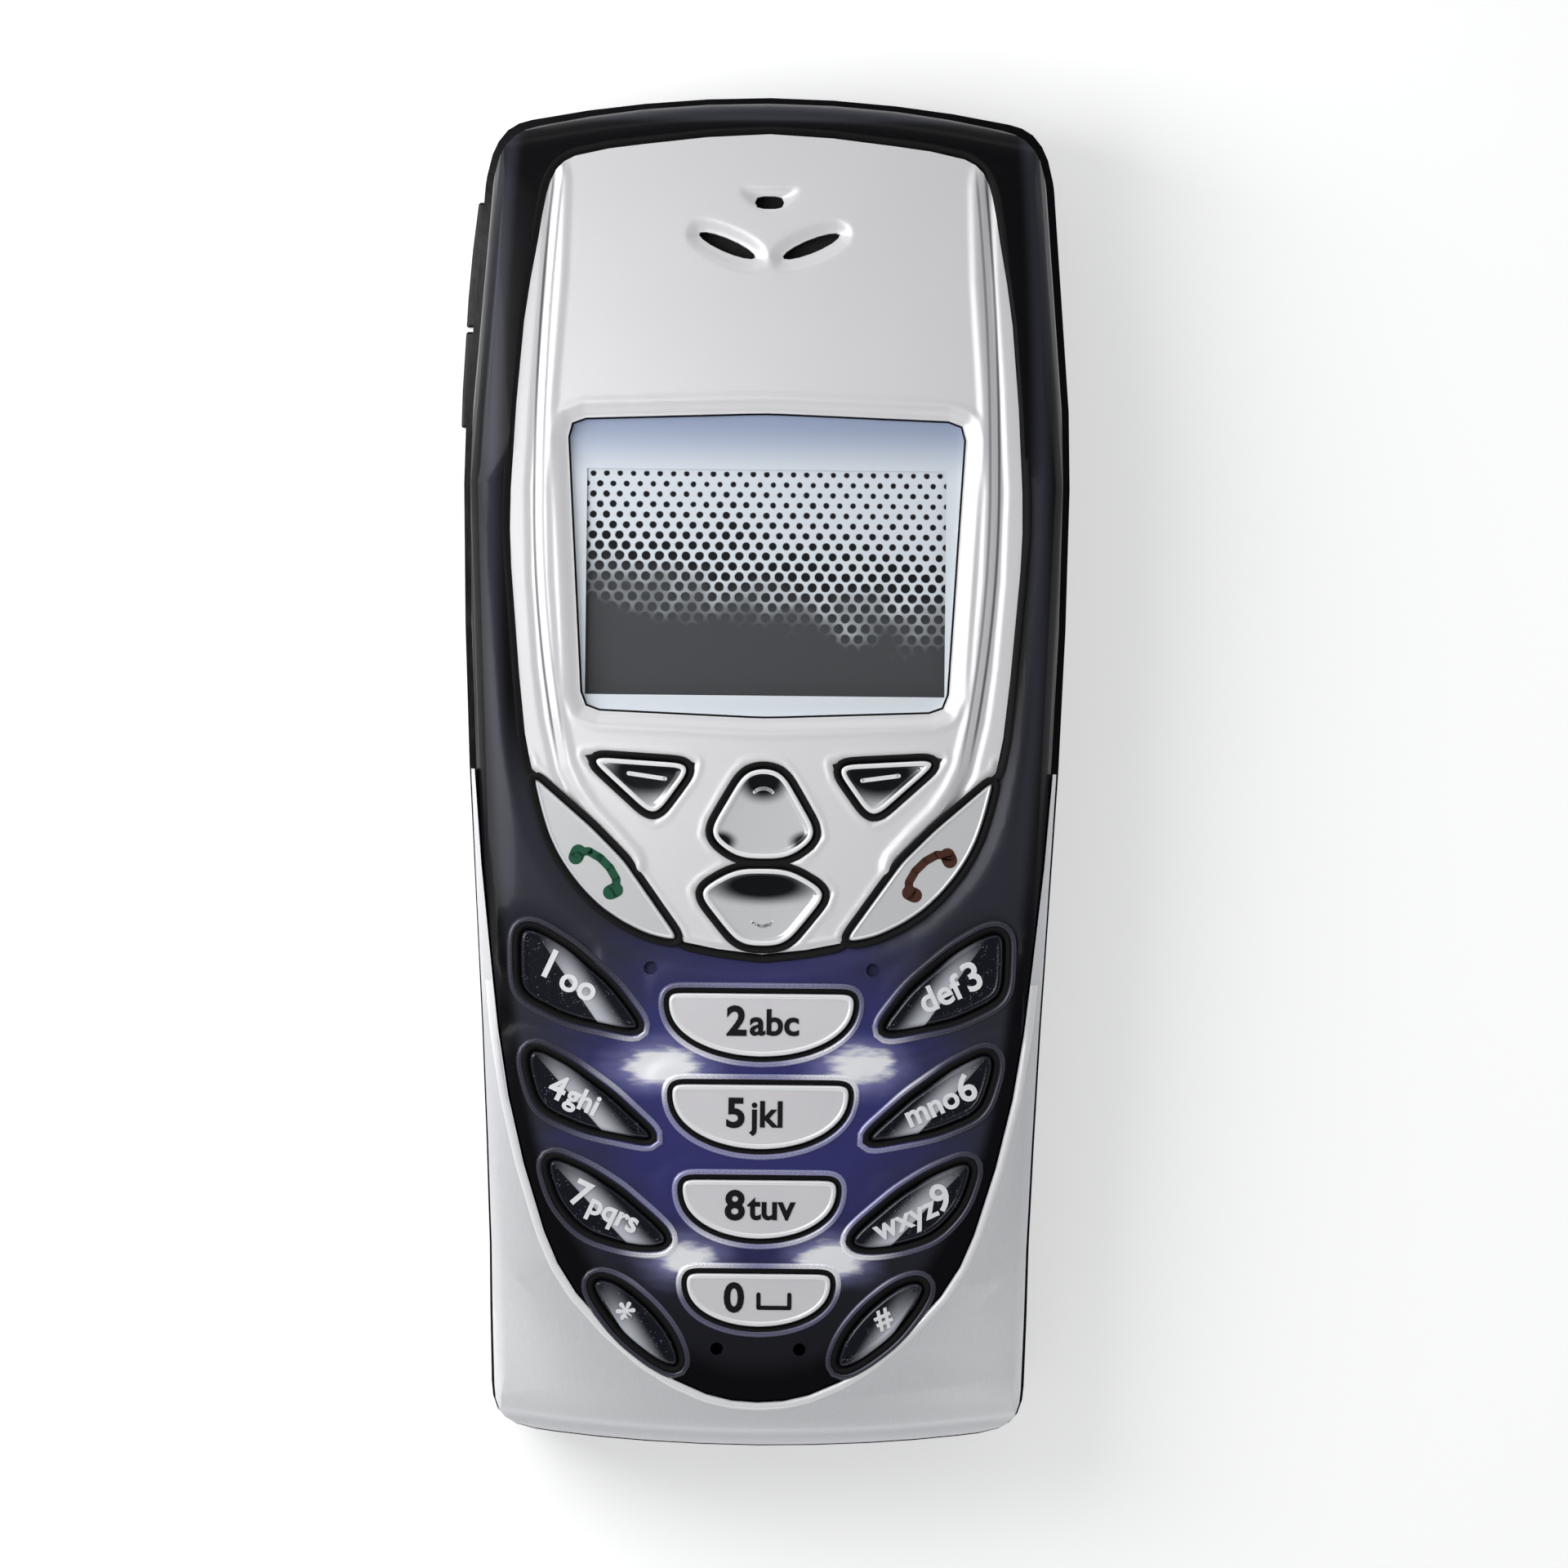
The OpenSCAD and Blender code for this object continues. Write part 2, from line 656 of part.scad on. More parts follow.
// A key on the front: cap, flange under the bezel, and post above its dome
module front_key(p, post, deck, proud, low_y = -reach, high_y = reach) {
    flange_z = crown_z(span_y(p) + key_gap + key_lip) - deck - flange_gap;
    crowned(p, flange_z - flange_t, -proud);
    intersection() {
        prism(grow(p, key_gap + key_lip), flange_z - flange_t, flange_z);
        prism(bezel_inner, 0, body_t);
        block([-reach, low_y, 0], [reach, high_y, body_t]);
    }
    translate([post[0], post[1], post_z])
        cylinder(r = post_r, h = flange_z - flange_t / 2 - post_z, $fn = 32);
}

module side_number_key(row, left) {
    mirror([left ? 1 : 0, 0, 0])
        color("#1b1d2e")
        front_key(row_outlines[row], right_posts[row + 2], row == 0 ? web_d : deck_t, key_proud);
}

module middle_number_key(row) {
    color("#c9cbd0")
        front_key(middle_outlines[row], middle_posts[row + 2], deck_t, key_proud);
}

module soft_key(left) {
    mirror([left ? 1 : 0, 0, 0])
        color("#b9bcc2")
        front_key(soft_outline, right_posts[0], web_d, pad_proud);
}

module call_or_end_key(left) {
    flange_z = crown_z(call_corners[1][1] * stretch_y) - web_d - flange_gap;
    mirror([left ? 1 : 0, 0, 0])
        color("#b9bcc2") {
            intersection() {
                crowned(plate_outline, flange_z - flange_t, -pad_proud);
                prism(call_outline, 0, body_t + over);
            }
            intersection() {
                prism(grow(plate_outline, key_gap + key_lip), flange_z - flange_t, flange_z);
                prism(grow(call_outline, key_gap + key_lip), 0, body_t);
            }
            translate([right_posts[1][0], right_posts[1][1], post_z])
                cylinder(r = post_r, h = flange_z - flange_t / 2 - post_z, $fn = 32);
        }
}

module soft_key_left() { soft_key(true); }
module soft_key_right() { soft_key(false); }
module call_key() { call_or_end_key(true); }
module end_key() { call_or_end_key(false); }
module key_1() { side_number_key(0, true); }
module key_2() { middle_number_key(0); }
module key_3() { side_number_key(0, false); }
module key_4() { side_number_key(1, true); }
module key_5() { middle_number_key(1); }
module key_6() { side_number_key(1, false); }
module key_7() { side_number_key(2, true); }
module key_8() { middle_number_key(2); }
module key_9() { side_number_key(2, false); }
module key_star() { side_number_key(3, true); }
module key_0() { middle_number_key(3); }
module key_hash() { side_number_key(3, false); }

// The two scroll keys share one opening, so their flanges stop at its middle
scroll_split = (scroll_up_half[0][1] + scroll_down_half[2][1]) / 2 * stretch_y;

module scroll_up_key() {
    color("#b9bcc2")
        front_key(scroll_up_outline, middle_posts[0], web_d, pad_proud,
                  low_y = scroll_split + flange_gap);
}

module scroll_down_key() {
    color("#b9bcc2")
        front_key(scroll_down_outline, middle_posts[1], web_d, pad_proud,
                  high_y = scroll_split - flange_gap);
}

// A layer of the left side wall, between two depths under the surface
module side_layer(from, to, low, high) {
    intersection() {
        difference() {
            translate([from, 0, 0]) prism(body_outline, low[1], high[1]);
            translate([to, 0, 0]) prism(body_outline, low[1] - over, high[1] + over);
        }
        block([-body_w, low[0], low[1]], [-body_w / 4, high[0], high[1]]);
    }
}

volume_seat = 0.4;
volume_lip_t = 0.7;
volume_flange = wall + volume_seat;
volume_inner = volume_flange + volume_lip_t;
switch_gap = 0.1;
switch_t = 0.3;
switch_board_t = 0.7;
switch_board_end = 1;
switch_end = 2.5;
switch_h = 2;

module volume_key(y0, y1, lip0, lip1) {
    z0 = volume_z - volume_h / 2;
    z1 = volume_z + volume_h / 2;
    color("#111114") {
        side_layer(-volume_proud, volume_inner, [y0, z0], [y1, z1]);
        side_layer(volume_flange, volume_inner, [y0 - lip0, z0 - key_lip], [y1 + lip1, z1 + key_lip]);
    }
}

module volume_down_key() { volume_key(volume_y[0], volume_y[1] - slot_gap, key_lip, 0); }
module volume_up_key() { volume_key(volume_y[1] + slot_gap, volume_y[2], 0, key_lip); }

module volume_switch_board() {
    switch_x = volume_inner + side_travel + switch_gap;
    board_x = switch_x + switch_t;
    low = volume_z - volume_h / 2;
    color("#2f6b46") {
        side_layer(board_x, board_x + switch_board_t,
                   [volume_y[0] + switch_board_end, low], [volume_y[2] - switch_board_end, board_z]);
        for (i = [0, 1])
            side_layer(switch_x, board_x + switch_gap,
                       [volume_y[i] + switch_end, low], [volume_y[i + 1] - switch_end, low + switch_h]);
    }
}

power_in = 1.6;
power_lip_y = [1, 0.4];
power_switch_w = 4;
power_switch_l = 2.1;
power_switch_h = 0.7;

module power_key() {
    x = power_w / 2;
    color("#111114") {
        intersection() {
            prism(grow(body_outline, -slot_gap), power_z - power_h / 2, power_z + power_h / 2);
            block([-x, power_inner - power_in, 0], [x, body_l, body_t]);
        }
        block([-x - key_lip, power_inner - power_lip_y[0], power_z - power_h / 2 - key_lip],
              [x + key_lip, power_inner - power_lip_y[1], power_z + power_h / 2 + key_lip]);
    }
}

module power_switch() {
    x = power_switch_w / 2;
    y = power_inner - power_in - switch_gap - side_travel;
    color("#d8d8d8")
        block([-x, y - power_switch_l, power_z - power_switch_h], [x, y, board_z]);
}

module ir_window() {
    color("#3a0d10") intersection() {
        end_slot(ir_x[0] + slot_gap, ir_x[1] - slot_gap, power_z, ir_h - 2 * slot_gap);
        difference() {
            prism(body_outline, 0, parting_z);
            prism(grow(body_outline, -wall - slot_gap), -over, parting_z + over);
        }
    }
}

release_stem_r = 1.4;

module release_button() {
    color("#1a1a1d") {
        translate([0, 0, release_sink]) linear_extrude(wall) release_outline(0);
        translate([0, 0, wall + flange_gap]) linear_extrude(flange_t) release_outline(key_lip);
        translate([0, release_y, wall])
            cylinder(r = release_stem_r, h = flange_gap + flange_t + release_travel, $fn = 32);
    }
}

module main_board() {
    color("#24583a") difference() {
        prism(grow(body_outline, -wall - board_gap), board_z, board_top);
        block([-connector_w / 2 - connector_gap, -body_l, 0],
              [connector_w / 2 + connector_gap, connector_y1 + connector_gap, body_t]);
        for (p = screw_places)
            translate([p[0], p[1], 0]) cylinder(r = screw_r + 4 * screw_fit, h = body_t, $fn = 32);
    }
}

// Display stack, in its carrier on the board
panel_shift = 0.9;
panel_y = (view_y[0] + view_y[1]) / 2 + panel_shift;
panel_y0 = panel_y - panel_l / 2;
panel_y1 = panel_y + panel_l / 2;
panel_gap = 0.1;
carrier_x = panel_w / 2 + panel_gap + carrier_wall;
carrier_y0 = panel_y0 - panel_gap - carrier_wall;
carrier_y1 = panel_y1 + panel_gap + carrier_wall;
carrier_gap = 0.3;
carrier_top = crown_z(carrier_y1) - web_d - carrier_gap;
panel_z = carrier_top - panel_gap - panel_t;
shelf_t = 0.7;
can_gap = 0.2;
ear_below = 1;
ear_top = crown_z(ear_y + ear_r + over) - web_d - ear_below;
ear_z = ear_top - ear_t;
ear_fit = 0.05;
ear_rim = 1.2;
gasket_w = 1;
gasket_t = 0.4;
flex_x = [8 * stretch_x, 14 * stretch_x];
flex_t = 0.2;
flex_l = 2.6;
flex_plug_h = 0.8;
flex_below = 0.4;
can_t = 0.25;

module display_carrier() {
    ear_wall = ear_r + ear_rim;
    color("#e6e6e2") difference() {
        union() {
            block([-carrier_x, carrier_y0, board_top], [carrier_x, carrier_y1, carrier_top]);
            block([-ear_wall, carrier_y1 - carrier_wall, board_top],
                  [ear_wall, ear_y + ear_wall, ear_z + ear_t / 2]);
        }
        block([-panel_w / 2 - panel_gap, panel_y0 - panel_gap, panel_z],
              [panel_w / 2 + panel_gap, panel_y1 + panel_gap, body_t]);
        block([-carrier_x + carrier_wall, carrier_y0 + carrier_wall, 0],
              [carrier_x - carrier_wall, carrier_y1 - carrier_wall, panel_z - shelf_t]);
        translate([0, ear_y, ear_z]) cylinder(r = ear_r + ear_fit, h = body_t, $fn = 64);
    }
}

module display_panel() {
    color("#8f9aa3")
        block([-panel_w / 2, panel_y0, panel_z], [panel_w / 2, panel_y1, panel_z + panel_t]);
}

module display_flex() {
    low = [flex_x[0], carrier_y1, board_top];
    color("#a8742a") {
        block(low, [flex_x[1], carrier_y1 + flex_t, carrier_top - flex_below]);
        block(low, [flex_x[1], carrier_y1 + flex_l, board_top + flex_plug_h]);
    }
}

module shield_can(y0, y1) {
    x = carrier_x - carrier_wall - can_gap;
    color("#b4b7bb") difference() {
        block([-x, y0, board_top], [x, y1, board_top + can_h]);
        block([-x + can_t, y0 + can_t, board_top - over],
              [x - can_t, y1 - can_t, board_top + can_h - can_t]);
    }
}

module shield_can_lower() { shield_can(carrier_y0 + carrier_wall + can_gap, panel_y - can_gap); }
module shield_can_upper() { shield_can(panel_y + can_gap, carrier_y1 - carrier_wall - can_gap); }

module earpiece() {
    color("#8c8f94") translate([0, ear_y, ear_z]) cylinder(r = ear_r, h = ear_t, $fn = 64);
}

module earpiece_gasket() {
    color("#202022") translate([0, ear_y, ear_top]) difference() {
        cylinder(r = ear_r, h = gasket_t, $fn = 64);
        translate([0, 0, -over]) cylinder(r = ear_r - gasket_w, h = 3 * over, $fn = 64);
    }
}

sheet_half = [[10.9, -40.6], [15, -28], [15.6, -14], [14, 1.2]];
mic_r = 1.8;
mic_h = 1.6;
mic_side = 2;
boot_end = 1;
boot_y = [1.2, 0.6];
boot_gap = 0.1;

module dome_sheet() {
    color("#d9d2b0") difference() {
        prism(soften(whole(stretched(sheet_half)), key_corner), board_top, dome_z);
        block([-mic_r - mic_side, -body_l, 0], [mic_r + mic_side, mic_hole[1] + mic_r + boot_gap, body_t]);
        for (i = [2, 3])
            translate([screw_places[i][0], screw_places[i][1], 0])
            cylinder(r = screw_head_r + head_gap, h = body_t, $fn = 48);
    }
}

module key_domes() {
    color("#c6c7c9")
        for (p = key_places)
            translate([p[0], p[1], dome_z]) cylinder(r1 = dome_r, r2 = dome_r / 2, h = dome_h, $fn = 32);
}

module microphone() {
    color("#9a9c9f") translate([0, mic_hole[1], board_top]) cylinder(r = mic_r, h = mic_h, $fn = 48);
}

module mic_boot() {
    x = mic_hole[0] + boot_end;
    y = mic_hole[1];
    color("#28282b") difference() {
        block([-x, y - boot_y[0], board_top + mic_h],
              [x, y + boot_y[1], crown_z(y - boot_y[0]) - deck_t - boot_gap]);
        for (side = [-1, 1])
            translate([side * mic_hole[0], y, 0]) cylinder(r = mic_hole_r, h = body_t, $fn = 24);
    }
}

module system_connector() {
    color("#232326") difference() {
        block([-connector_w / 2, connector_y0, seam_z + connector_lift],
              [connector_w / 2, connector_y1, board_top]);
        translate([0, connector_y0 + jack_d, jack_z]) rotate([90, 0, 0])
            cylinder(r = jack_r, h = jack_d + over, $fn = 48);
        for (x = [-pad_x, pad_x])
            block([x - pad_w / 2, connector_y0 - over, jack_z - pad_h / 2],
                  [x + pad_w / 2, connector_y0 + over, jack_z + pad_h / 2]);
    }
}

module charging_contacts() {
    color("#d6b25a")
        for (x = [-pad_x, pad_x])
            block([x - pad_w / 2, connector_y0 + pad_sink, jack_z - pad_h / 2],
                  [x + pad_w / 2, connector_y0 + over, jack_z + pad_h / 2]);
}

module battery() {
    x = battery_w / 2;
    color("#5f6468")
        prism(soften([[-x, battery_y0], [x, battery_y0], [x, battery_y1], [-x, battery_y1]], battery_corner),
              battery_z, battery_z + battery_t);
}

module battery_contacts() {
    color("#d6b25a")
        block([-contact_w / 2, contact_y1 - contact_l, battery_z + contact_lift],
              [contact_w / 2, contact_y1, board_z]);
}

module sim_reader() {
    color("#b4b7bb")
        block([-reader_x, -reader_y, board_z - reader_t], [reader_x, reader_y, board_z]);
}

module sim_card() {
    x = card_w / 2;
    y = card_l / 2;
    top = board_z - reader_t;
    color("#e9e9e4")
        prism([[-x, -y], [x - card_corner, -y], [x, -y + card_corner], [x, y], [-x, y]], top - card_t, top);
}

cell_at = [12.5 * stretch_x, 25.5 * stretch_y];
cell_r = 3.2;
cell_h = 1.6;

module backup_cell() {
    color("#c9cacc")
        translate([cell_at[0], cell_at[1], board_z - cell_h]) cylinder(r = cell_r, h = cell_h, $fn = 48);
}

antenna_x = 11 * stretch_x;
antenna_y = [29.5 * stretch_y, 41 * stretch_y];
antenna_below = 1.7;
antenna_t = 0.3;
antenna_foot = 1;

module antenna() {
    x = antenna_x;
    y = antenna_y;
    z = board_z - antenna_below;
    foot_x = x - antenna_foot;
    color("#b98a4a") {
        block([-x, y[0], z], [x, y[1], z + antenna_t]);
        for (side = [-1, 1])
            block([side * foot_x - antenna_foot, y[1] - antenna_foot, z],
                  [side * foot_x + antenna_foot, y[1], board_z]);
    }
}

module buzzer() {
    color("#1f1f22")
        translate([buzzer_at[0], buzzer_at[1], wall]) cylinder(r = buzzer_r, h = buzzer_h, $fn = 64);
}

shaft_r = 0.4;
shaft_out = 3.2;
weight_start = 0.4;
weight_l = 2.6;
weight_fit = 0.03;
weight_cut = 0.8;

module along_motor() {
    translate([motor_at[0], motor_at[1], motor_z]) rotate([0, 90, 0]) children();
}

module vibration_motor() {
    color("#b9bcc0") along_motor() {
        translate([0, 0, -motor_l / 2]) cylinder(r = motor_r, h = motor_l, $fn = 48);
        cylinder(r = shaft_r, h = motor_l / 2 + shaft_out, $fn = 32);
    }
}

module vibra_weight() {
    color("#7c7f83") along_motor()
        translate([0, 0, motor_l / 2 + weight_start])
        difference() {
            cylinder(r = weight_r, h = weight_l, $fn = 48);
            translate([0, 0, -over]) cylinder(r = shaft_r + weight_fit, h = 2 * over + weight_l, $fn = 32);
            block([-3 * weight_r, -2 * weight_r, -over], [-weight_cut, 2 * weight_r, weight_l + over]);
        }
}

screw_head_h = 0.9;

module board_screws() {
    color("#a9acb0")
        for (p = screw_places)
            translate([p[0], p[1], 0]) {
                translate([0, 0, seam_z + 2 * screw_floor])
                    cylinder(r = screw_r, h = board_top - seam_z, $fn = 32);
                translate([0, 0, board_top]) cylinder(r = screw_head_r, h = screw_head_h, $fn = 48);
            }
}

rear_housing();
lower_cover();
battery_cover();
front_bezel();
face_plate();
display_window();
earpiece_mesh();
ir_window();
soft_key_left();
soft_key_right();
scroll_up_key();
scroll_down_key();
call_key();
end_key();
key_1();
key_2();
key_3();
key_4();
key_5();
key_6();
key_7();
key_8();
key_9();
key_star();
key_0();
key_hash();
volume_up_key();
volume_down_key();
power_key();
release_button();
main_board();
shield_can_upper();
shield_can_lower();
antenna();
display_carrier();
display_panel();
display_flex();
earpiece();
earpiece_gasket();
dome_sheet();
key_domes();
microphone();
mic_boot();
system_connector();
charging_contacts();
battery();
battery_contacts();
sim_reader();
sim_card();
backup_cell();
buzzer();
vibration_motor();
vibra_weight();
board_screws();
volume_switch_board();
power_switch();
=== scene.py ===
import json
from math import cos, radians, sin, sqrt

import bmesh
import bpy
from mathutils import Matrix, Vector
from mathutils.bvhtree import BVHTree
from mathutils.kdtree import KDTree

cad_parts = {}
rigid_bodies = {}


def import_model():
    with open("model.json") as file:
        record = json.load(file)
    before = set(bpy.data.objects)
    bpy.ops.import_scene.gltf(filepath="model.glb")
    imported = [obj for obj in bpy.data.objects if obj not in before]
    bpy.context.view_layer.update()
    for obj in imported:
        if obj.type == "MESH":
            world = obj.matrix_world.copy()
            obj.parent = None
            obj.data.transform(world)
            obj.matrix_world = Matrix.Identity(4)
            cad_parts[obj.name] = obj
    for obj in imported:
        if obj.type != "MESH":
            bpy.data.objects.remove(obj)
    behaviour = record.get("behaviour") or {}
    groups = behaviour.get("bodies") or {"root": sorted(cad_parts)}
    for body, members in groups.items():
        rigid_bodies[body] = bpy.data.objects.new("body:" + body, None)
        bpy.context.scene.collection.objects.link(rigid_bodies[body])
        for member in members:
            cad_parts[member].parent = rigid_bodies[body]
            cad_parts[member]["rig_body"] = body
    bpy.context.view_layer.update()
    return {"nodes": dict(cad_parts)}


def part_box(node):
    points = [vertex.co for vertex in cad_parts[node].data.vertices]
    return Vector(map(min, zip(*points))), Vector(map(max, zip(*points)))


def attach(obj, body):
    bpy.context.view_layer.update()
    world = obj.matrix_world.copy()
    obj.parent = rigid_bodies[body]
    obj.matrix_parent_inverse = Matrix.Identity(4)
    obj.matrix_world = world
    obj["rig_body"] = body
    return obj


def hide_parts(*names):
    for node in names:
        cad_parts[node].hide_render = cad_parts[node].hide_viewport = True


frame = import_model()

mm = 0.001


# The rear housing is the tub that carries the board, the battery bay and the side keys.
# It is moulded in black plastic with a polished skin; fine swirls show where it was handled.
class Wire:
    """A socket of a shader, so that shader maths is written as Python."""

    def __init__(self, tree, socket=None):
        self.tree = tree
        self.socket = socket

    def node(self, kind, settings, sockets, out=0):
        made = self.tree.nodes.new("ShaderNode" + kind)
        for name, value in settings.items():
            if name == "stops":
                ramp = made.color_ramp.elements
                ramp[0].position, ramp[1].position = value[0][0], value[-1][0]
                for place, colour in value[1:-1]:
                    ramp.new(place)
                for stop, (place, colour) in zip(ramp, value):
                    stop.color = (*colour, 1)
            else:
                setattr(made, name, value)
        for name, value in sockets.items():
            if isinstance(value, Wire):
                self.tree.links.new(value.socket, made.inputs[name])
            else:
                made.inputs[name].default_value = value
        return Wire(self.tree, made.outputs[out]) if made.outputs else None

    def maths(self, operation, a, b=0.0):
        return self.node("Math", {"operation": operation}, {0: a, 1: b})

    def __add__(self, other):
        return self.maths("ADD", self, other)

    def __sub__(self, other):
        return self.maths("SUBTRACT", self, other)

    def __rsub__(self, other):
        return self.maths("SUBTRACT", other, self)

    def __mul__(self, other):
        return self.maths("MULTIPLY", self, other)

    def __truediv__(self, other):
        return self.maths("DIVIDE", self, other)

    __radd__ = __add__
    __rmul__ = __mul__

    def rise(self, low, high):
        """0 below low, 1 above high, and smooth between."""
        return self.node("MapRange", {"interpolation_type": "SMOOTHSTEP"},
                         {"Value": self, "From Min": low, "From Max": high})

    def between(self, first, second):
        """The first colour where this is 0, the second where it is 1."""
        return self.node("Mix", {"data_type": "RGBA"}, {0: self, 6: (*first, 1), 7: (*second, 1)}, 2)

    def axes(self):
        """The X, the Y and the Z of a place, each as a value of its own."""
        split = self.node("SeparateXYZ", {}, {"Vector": self}).socket.node
        return [Wire(self.tree, part) for part in split.outputs]

    def cover(self, colour, over):
        """A colour socket with another colour laid over it where this is 1."""
        return self.node("Mix", {"data_type": "RGBA"}, {0: self, 6: colour, 7: (*over, 1)}, 2)


def start_finish(name):
    """A new finish, and the place on the object that its pattern reads."""
    finish = bpy.data.materials.new(name)
    finish.use_nodes = True
    finish.node_tree.nodes.clear()
    return finish, Wire(finish.node_tree).node("TexCoord", {}, {}, "Object")


def grain(place, size, detail=2.0, stretch=(1, 1, 1)):
    """Cloudy noise whose spots are about one size across."""
    turned = place.node("Mapping", {}, {"Vector": place, "Scale": stretch})
    return place.node("TexNoise", {}, {"Vector": turned, "Scale": 1 / size, "Detail": detail})


def bumps(height, depth, strength=1.0):
    return height.node("Bump", {}, {"Height": height, "Strength": strength, "Distance": depth})


def end_finish(place, sockets):
    shader = place.node("BsdfPrincipled", {}, sockets)
    place.node("OutputMaterial", {}, {"Surface": shader})


def black_plastic(name, colour, gloss, swirl):
    finish, place = start_finish(name)
    dust = grain(place, 3 * mm, 4.0)
    hair = grain(place, 0.25 * mm, 2.0, (1, 0.15, 0.4))
    end_finish(place, {
        "Base Color": dust.between(colour, tuple(1.5 * c + 0.002 for c in colour)),
        "Roughness": gloss + swirl * hair.rise(0.45, 0.75) + 0.05 * dust,
        "Normal": bumps(grain(place, 0.5 * mm), 0.004 * mm),
        "Specular IOR Level": 0.16, "Coat Weight": 0.06, "Coat Roughness": 0.05})
    return finish


def show(name, mesh, finish, body):
    """Puts a mesh in the scene as a finished piece that rides on a body."""
    piece = bpy.data.objects.new(name, mesh)
    bpy.context.scene.collection.objects.link(piece)
    mesh.materials.clear()
    mesh.materials.append(finish)
    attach(piece, body)
    return piece


def merged(node):
    """A bmesh copy of a CAD piece with its loose triangles joined."""
    work = bmesh.new()
    work.from_mesh(frame["nodes"][node].data)
    bmesh.ops.remove_doubles(work, verts=work.verts, dist=mm / 1000)
    return work


def to_mesh(work, name, smooth_below=35):
    """A mesh from a bmesh, shaded smooth where its faces meet flatly."""
    for face in work.faces:
        face.smooth = True
        face.material_index = 0
    mesh = bpy.data.meshes.new(name)
    work.to_mesh(mesh)
    work.free()
    for layer in [a.name for a in mesh.attributes if a.name == "custom_normal"]:
        mesh.attributes.remove(mesh.attributes[layer])
    mesh.set_sharp_from_angle(angle=radians(smooth_below))
    return mesh


def body_of(node):
    return frame["nodes"][node]["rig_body"]


def moulded(node, finish, edge, steps=2, bend=40, work=None):
    """A CAD piece with the edges rounded that its mould would round."""
    if work is None:
        work = merged(node)
        bmesh.ops.dissolve_limit(work, angle_limit=radians(0.3), verts=work.verts, edges=work.edges)
    piece = show(node + "_moulded", to_mesh(work, node + "_moulded"), finish, body_of(node))
    rounding = piece.modifiers.new("rounded_edges", "BEVEL")
    rounding.width = edge
    rounding.segments = steps
    rounding.limit_method = "ANGLE"
    rounding.angle_limit = radians(bend)
    rounding.harden_normals = True
    rounding.use_clamp_overlap = True
    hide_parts(node)
    return piece


polished_black = black_plastic("polished_black", (0.006, 0.006, 0.007), 0.1, 0.12)
moulded("rear_housing", polished_black, 0.18 * mm)


# The battery cover slides over the back and holds the battery in.
# It is the same black plastic with a fine spark-eroded texture, so it doesn't slip in the hand.
satin_black = black_plastic("satin_black", (0.009, 0.009, 0.01), 0.3, 0.1)
moulded("battery_cover", satin_black, 0.2 * mm)
moulded("release_button", satin_black, 0.2 * mm)


# The main board is green glass-fibre laminate with copper tracks under its lacquer.
# Four screws hold it to the housing's posts, and the switch boards are the same stuff.
def paint(finish, *nodes):
    """Gives CAD pieces, whose shape is right as it is, their finish."""
    for node in nodes:
        mesh = frame["nodes"][node].data
        mesh.materials.clear()
        mesh.materials.append(finish)


lacquered_board, place = start_finish("lacquered_board")
tracks = place.node("TexBrick", {"offset": 0.35, "squash": 1.4, "squash_frequency": 3}, {
    "Vector": place, "Scale": 420.0, "Mortar Size": 0.03, "Color1": (0, 0, 0, 1),
    "Color2": (0, 0, 0, 1), "Mortar": (1, 1, 1, 1)}, 1)
vias = place.node("TexVoronoi", {"feature": "F1"}, {"Vector": place, "Scale": 520.0}, 0)
lacquer = grain(place, 2 * mm).between((0.012, 0.09, 0.035), (0.02, 0.13, 0.05))
lacquer = tracks.cover(lacquer, (0.05, 0.23, 0.07))
end_finish(place, {
    "Base Color": (1 - vias.rise(0.1, 0.16)).cover(lacquer, (0.55, 0.42, 0.16)),
    "Roughness": 0.32 + 0.15 * grain(place, 0.3 * mm),
    "Normal": bumps(tracks, 0.02 * mm)})
paint(lacquered_board, "main_board", "volume_switch_board")


# The metal inside is plain bright stamping: shield cans, card reader, contacts and screws.
# Rolled steel shows its rolling direction, and the contacts are flashed with gold.
def bright_metal(name, colour, rough, along):
    finish, place = start_finish(name)
    rolled = grain(place, 0.08 * mm, 3.0, along)
    end_finish(place, {
        "Base Color": rolled.between(colour, tuple(0.8 * c for c in colour)), "Metallic": 1.0,
        "Roughness": rough + 0.14 * rolled, "Normal": bumps(rolled, 0.006 * mm)})
    return finish


rolled_steel = bright_metal("rolled_steel", (0.62, 0.63, 0.64), 0.26, (1, 0.03, 1))
turned_steel = bright_metal("turned_steel", (0.52, 0.53, 0.55), 0.22, (0.05, 1, 1))
gold_flash = bright_metal("gold_flash", (0.83, 0.6, 0.24), 0.2, (1, 0.2, 1))
bare_copper = bright_metal("bare_copper", (0.72, 0.4, 0.22), 0.24, (0.1, 1, 1))
paint(rolled_steel, "shield_can_upper", "shield_can_lower", "sim_reader", "backup_cell", "microphone")
paint(turned_steel, "board_screws", "vibration_motor", "vibra_weight", "earpiece", "key_domes")
paint(gold_flash, "battery_contacts", "charging_contacts")
paint(bare_copper, "antenna")


# The plastics inside are as they came from the mould: carrier, flex, sheet, card and rubber.
# They are matt, slightly uneven in tone, and pebbled by the steel they were shot against.
def raw_plastic(name, colour, rough, pebble):
    finish, place = start_finish(name)
    tone = grain(place, 4 * mm, 3.0)
    skin = grain(place, 0.2 * mm)
    end_finish(place, {
        "Base Color": tone.between(colour, tuple(0.82 * c for c in colour)),
        "Roughness": rough + 0.12 * skin, "Normal": bumps(skin, pebble)})
    return finish


